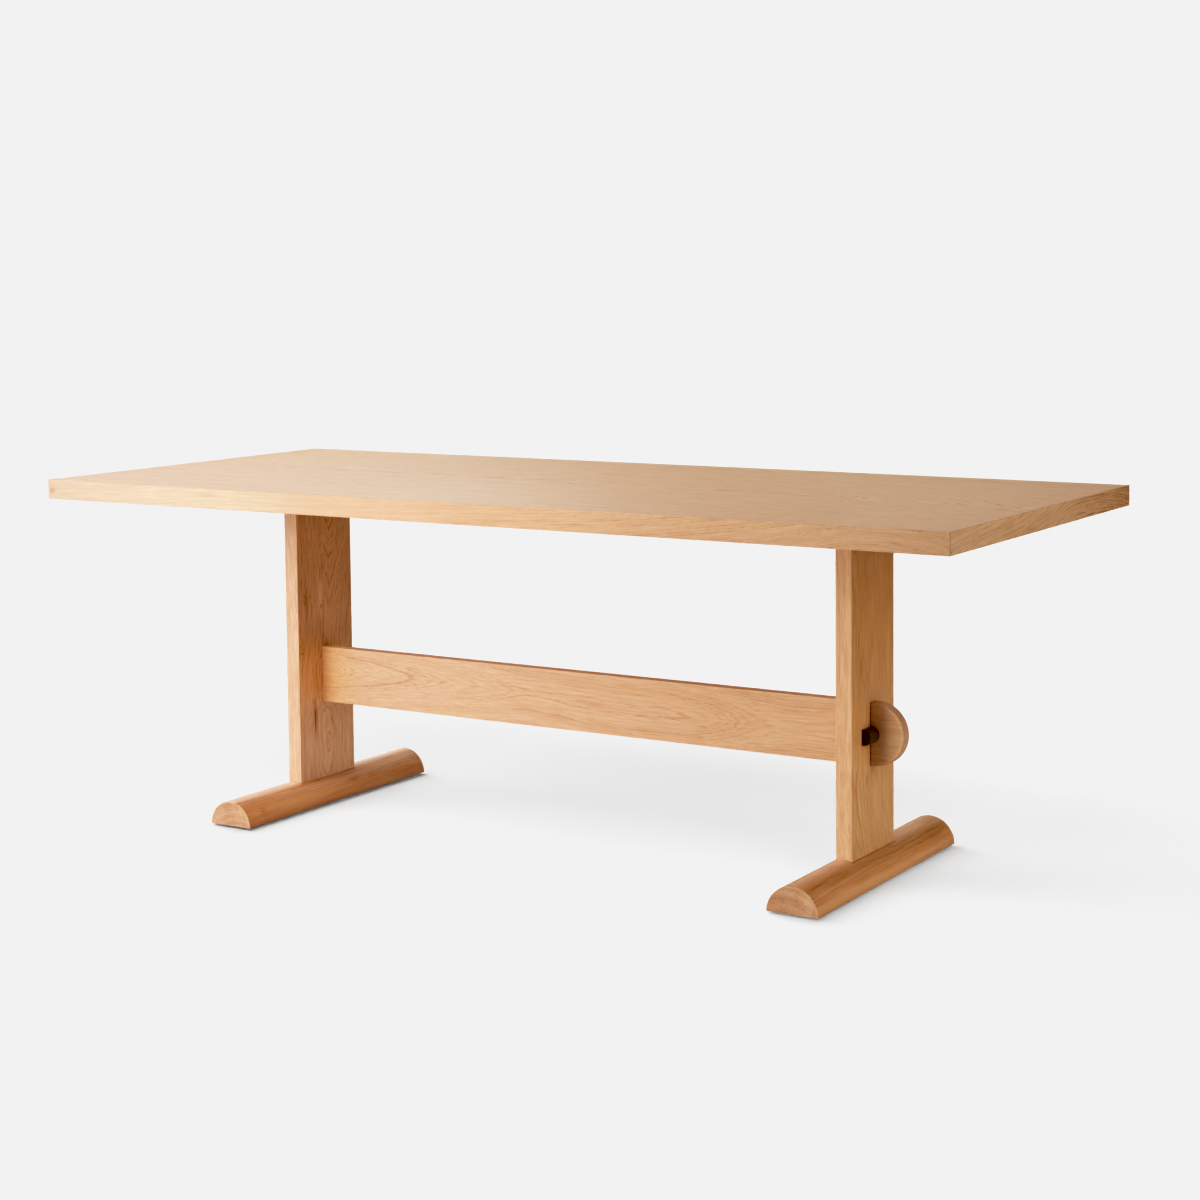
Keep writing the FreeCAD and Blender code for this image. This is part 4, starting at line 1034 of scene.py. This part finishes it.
def glow(t, rgb):
    em = t.nodes.new("ShaderNodeEmission")
    em.inputs["Color"].default_value = (*rgb, 1)
    em.inputs["Strength"].default_value = 1.0
    return em.outputs[0]


# The floor glows a little and takes soft shadows from lamps of its own. The
# light it sends up to the table comes from a matt sheet just under it and from
# lamps that lie on it.
FLOOR_GREY = 0.12
AMBIENT = (0.045, 0.020, 0.040)
SUNS = [  # weight on the open floor, from (degrees from -Y towards -X), height, spread, what shades it
    (0.145, 60.0, 42.0, 26.0, None),
    (0.120, -55.0, 42.0, 26.0, None),
    (0.090, 0.0, 52.0, 26.0, None),
    (0.170, 150.0, 58.0, 30.0, "feet"),
    (0.100, 112.0, 38.0, 34.0, "feet"),
    (0.120, 110.0, 25.0, 34.0, "feet"),
    (0.080, 105.0, 16.0, 34.0, "feet"),
    (0.345, 92.0, 60.0, 18.0, "left"),
    (0.070, 150.0, 50.0, 30.0, "right_post"),
    (0.110, 72.0, 42.0, 34.0, "right_post"),
]


def hidden(ob, *rays):
    for ray in rays:
        setattr(ob, "visible_" + ray, False)
    return ob


def sheet(half, z):
    bm = bmesh.new()
    bmesh.ops.create_grid(bm, x_segments=12, y_segments=12, size=half)
    bmesh.ops.translate(bm, verts=bm.verts, vec=(0, 0, z))
    return bm


def matt(t, rgb, grey):
    """A glow with a plain matt surface under it."""
    add = t.nodes.new("ShaderNodeAddShader")
    di = t.nodes.new("ShaderNodeBsdfDiffuse")
    di.inputs["Color"].default_value = (grey, grey, grey, 1)
    t.links.new(glow(t, rgb), add.inputs[0])
    t.links.new(di.outputs[0], add.inputs[1])
    return add.outputs[0]


def floor():
    rest = [OPEN - sum(row[0] for row in SUNS) - FLOOR_GREY * c for c in AMBIENT]
    return hidden(stage_mesh("studio_floor", sheet(40.0, 0.0), lambda t: matt(t, rest, FLOOR_GREY)),
                  "diffuse", "glossy", "transmission", "shadow")


def backdrop():
    bm = bmesh.new()
    bmesh.ops.create_uvsphere(bm, u_segments=48, v_segments=24, radius=70.0)
    ob = stage_mesh("studio_backdrop", bm, lambda t: glow(t, (OPEN, OPEN, OPEN)))
    return hidden(ob, "diffuse", "glossy", "transmission", "shadow")




def bounce():
    def shader(t):
        di = t.nodes.new("ShaderNodeBsdfDiffuse")
        di.inputs["Color"].default_value = (0.35, 0.35, 0.35, 1)
        return di.outputs[0]

    ob = stage_mesh("studio_bounce", sheet(40.0, -0.001), shader)
    return hidden(ob, "camera", "transmission", "shadow")


floor_ob = floor()
backdrop()
bounce()

world = bpy.data.worlds.new("studio")
scene.world = world
world.use_nodes = True
bg = [n for n in world.node_tree.nodes if n.type == "BACKGROUND"][0]
bg.inputs["Color"].default_value = (*AMBIENT, 1)
bg.inputs["Strength"].default_value = 1.0

# who is lit by which lamp: the table's lamps leave the floor out, and the
# floor's lamps light nothing else
all_but_floor = bpy.data.collections.new("all_but_floor")
all_but_floor.objects.link(floor_ob)
all_but_floor.collection_objects[0].light_linking.link_state = "EXCLUDE"
floor_only = bpy.data.collections.new("floor_only")
floor_only.objects.link(floor_ob)
# the strong side lamp stands close to the left end, whose upright faces get a
# weaker one in its place
left_end = bpy.data.collections.new("left_end")
all_but_left_end = bpy.data.collections.new("all_but_left_end")
all_but_left_end.objects.link(floor_ob)
for name in ("post_left", "edge_left", "key_left", "stretcher_board"):
    left_end.objects.link(bpy.data.objects[name])
    all_but_left_end.objects.link(bpy.data.objects[name])
for entry in all_but_left_end.collection_objects:
    entry.light_linking.link_state = "EXCLUDE"
shades = {}
for key_name, names in (("feet", ("foot_left", "foot_right", "glides")), ("left", ("foot_left", "glides")),
                        ("right_post", ("foot_right", "glides", "post_right"))):
    shades[key_name] = bpy.data.collections.new("shade_" + key_name)
    for name in names:
        shades[key_name].objects.link(bpy.data.objects[name])


def lamp(name, kind, place, aim, energy, color=(1, 1, 1)):
    data = bpy.data.lights.new(name, kind)
    data.energy = energy
    data.color = color
    ob = bpy.data.objects.new(name, data)
    scene.collection.objects.link(ob)
    ob.location = place
    ob.rotation_euler = (Vector(aim) - Vector(place)).to_track_quat("-Z", "Y").to_euler()
    ob.visible_camera = False
    return ob


def around(azimuth, height, reach, aim):
    """A place seen from aim at an azimuth from -Y towards -X and a height, in degrees."""
    a, e = math.radians(azimuth), math.radians(height)
    return (aim[0] - reach * math.sin(a) * math.cos(e), aim[1] - reach * math.cos(a) * math.cos(e),
            aim[2] + reach * math.sin(e))


for i, (weight, azimuth, height, spread, shade) in enumerate(SUNS):
    ob = lamp("floor_sun_%d" % i, "SUN", around(azimuth, height, 5.0, (0, 0, 0)), (0, 0, 0),
              weight * math.pi / (FLOOR_GREY * math.sin(math.radians(height))))
    ob.data.angle = math.radians(spread)
    ob.data.cycles.use_multiple_importance_sampling = False
    ob.light_linking.receiver_collection = floor_only
    if shade:
        ob.light_linking.blocker_collection = shades[shade]

MID = (0.0, 0.0, 0.4)
SOFT = [  # power by colour in units of 200 W, side length, azimuth, height, distance, aim
    ("side", (1.204, 1.280, 1.382), 1.6, 95, 15, 3.6, MID),
    ("front_low", (0.281, 0.326, 0.271), 1.6, 20, 15, 3.6, MID),
    ("back_left", (0.220, 0.255, 0.253), 1.6, 130, 42, 3.6, MID),
    ("front_left", (0.047, 0.101, 0.228), 1.6, 50, 15, 3.6, MID),
    ("near", (0.165, 0.113, 0.105), 1.6, 0, 20, 2.2, (-0.9, 0.0, 0.4)),
    ("right_low", (0.146, 0.130, 0.099), 1.6, -90, 15, 3.6, MID),
    ("right_high", (0.099, 0.123, 0.114), 1.6, -90, 42, 3.6, MID),
    ("back", (0.087, 0.092, 0.086), 1.6, 180, 42, 3.6, MID),
    ("over", (0.110, 0.134, 0.138), 1.6, 0, 90, 3.0, MID),
    ("near_high", (0.083, 0.075, 0.063), 1.6, 0, 40, 2.6, (-0.4, 0.0, 0.4)),
    ("front_right", (0.036, 0.038, 0.049), 0.8, -60, 30, 3.4, MID),
    ("right_floor", (0.028, 0.023, 0.028), 0.8, -90, 4, 3.4, MID),
]
POOLS = [  # light sent up by the floor near the table: power, X and Y, sides
    ("inside", (2.86, 2.58, 2.52), (0.0, 0.0), (1.1, 0.8)),
    ("right", (1.56, 1.26, 0.74), (1.15, -0.1), (0.6, 1.1)),
    ("front", (1.38, 0.56, 0.01), (0.0, -0.9), (1.8, 0.5)),
]


def panel(name, power, sides, place, aim):
    most = max(power)
    ob = lamp(name, "AREA", place, aim, most, tuple(c / most for c in power))
    ob.data.shape = "RECTANGLE"
    ob.data.size, ob.data.size_y = sides
    ob.light_linking.receiver_collection = all_but_floor
    return ob


for name, power, side, azimuth, height, reach, aim in SOFT:
    ob = panel("soft_" + name, tuple(c * 200.0 for c in power), (side, side), around(azimuth, height, reach, aim), aim)
    if name == "side":
        ob.light_linking.receiver_collection = all_but_left_end
ob = panel("soft_left_end", (58.0, 56.0, 52.0), (1.6, 1.6), around(95, 25, 3.6, MID), MID)
ob.light_linking.receiver_collection = left_end
for name, power, (x, y), sides in POOLS:
    panel("pool_" + name, power, sides, (x, y, 0.003), (x, y, 1.0))



def develop():
    """Picture finish: a contrast curve with a soft shoulder, then a little more colour."""
    scene.use_nodes = True
    t = scene.node_tree
    t.nodes.clear()
    layers = t.nodes.new("CompositorNodeRLayers")
    curves = t.nodes.new("CompositorNodeCurveRGB")
    colour = t.nodes.new("CompositorNodeHueSat")
    out = t.nodes.new("CompositorNodeComposite")
    top = 1.60
    curves.inputs["White Level"].default_value = (top, top, top, 1.0)
    c = curves.mapping.curves[3]
    ys = [0.0, 0.01, 0.03, 0.07, 0.13, 0.21, 0.31, 0.42, 0.54, 0.66, 0.77, 0.85]
    pts = [(0.0, 0.0)] + [((y + 0.015) ** 0.8 * (1 + 0.5 * (y + 0.015) ** 4) / top, y) for y in ys]
    pts += [(1.2270 / top, 0.8870), (1.4300 / top, 0.8872), (1.490 / top, 0.943), (1.0, 1.0)]
    while len(c.points) < len(pts):
        c.points.new(0.5, 0.5)
    for p, (x, y) in zip(c.points, pts):
        p.location = (x, y)
        p.handle_type = "VECTOR" if 0.88 < y < 0.89 else "AUTO_CLAMPED" if y > 0.8 else "AUTO"
    curves.mapping.update()
    colour.inputs["Saturation"].default_value = 1.12
    t.links.new(layers.outputs["Image"], curves.inputs["Image"])
    t.links.new(curves.outputs[0], colour.inputs["Image"])
    t.links.new(colour.outputs[0], out.inputs["Image"])


develop()

# ===================================================================== camera
F, CX, CY = 2278.659, 634.505, 431.386
YAW, PITCH, ROLL = 0.54723366, -0.07440038, -0.00875121
PLACE = Vector((2.61793852, -4.03403861, 1.22480017))


def camera():
    fwd = Vector((-math.sin(YAW) * math.cos(PITCH), math.cos(YAW) * math.cos(PITCH), math.sin(PITCH)))
    right = Vector((math.cos(YAW), math.sin(YAW), 0.0))
    up = right.cross(fwd)
    r0 = right * math.cos(ROLL) + up * math.sin(ROLL)
    r1 = -right * math.sin(ROLL) + up * math.cos(ROLL)
    data = bpy.data.cameras.new("photo_camera")
    data.sensor_fit = "HORIZONTAL"
    data.sensor_width = 36.0
    data.lens = F / 1200.0 * 36.0
    data.shift_x = (600.0 - CX) / 1200.0
    data.shift_y = (CY - 600.0) / 1200.0
    data.clip_start, data.clip_end = 0.05, 200.0
    ob = bpy.data.objects.new("photo_camera", data)
    scene.collection.objects.link(ob)
    m = Matrix((r0, r1, -fwd)).transposed().to_4x4()
    m.translation = PLACE
    ob.matrix_world = m
    scene.camera = ob
    return ob


camera()
scene.view_settings.view_transform = "Standard"
scene.view_settings.look = "None"
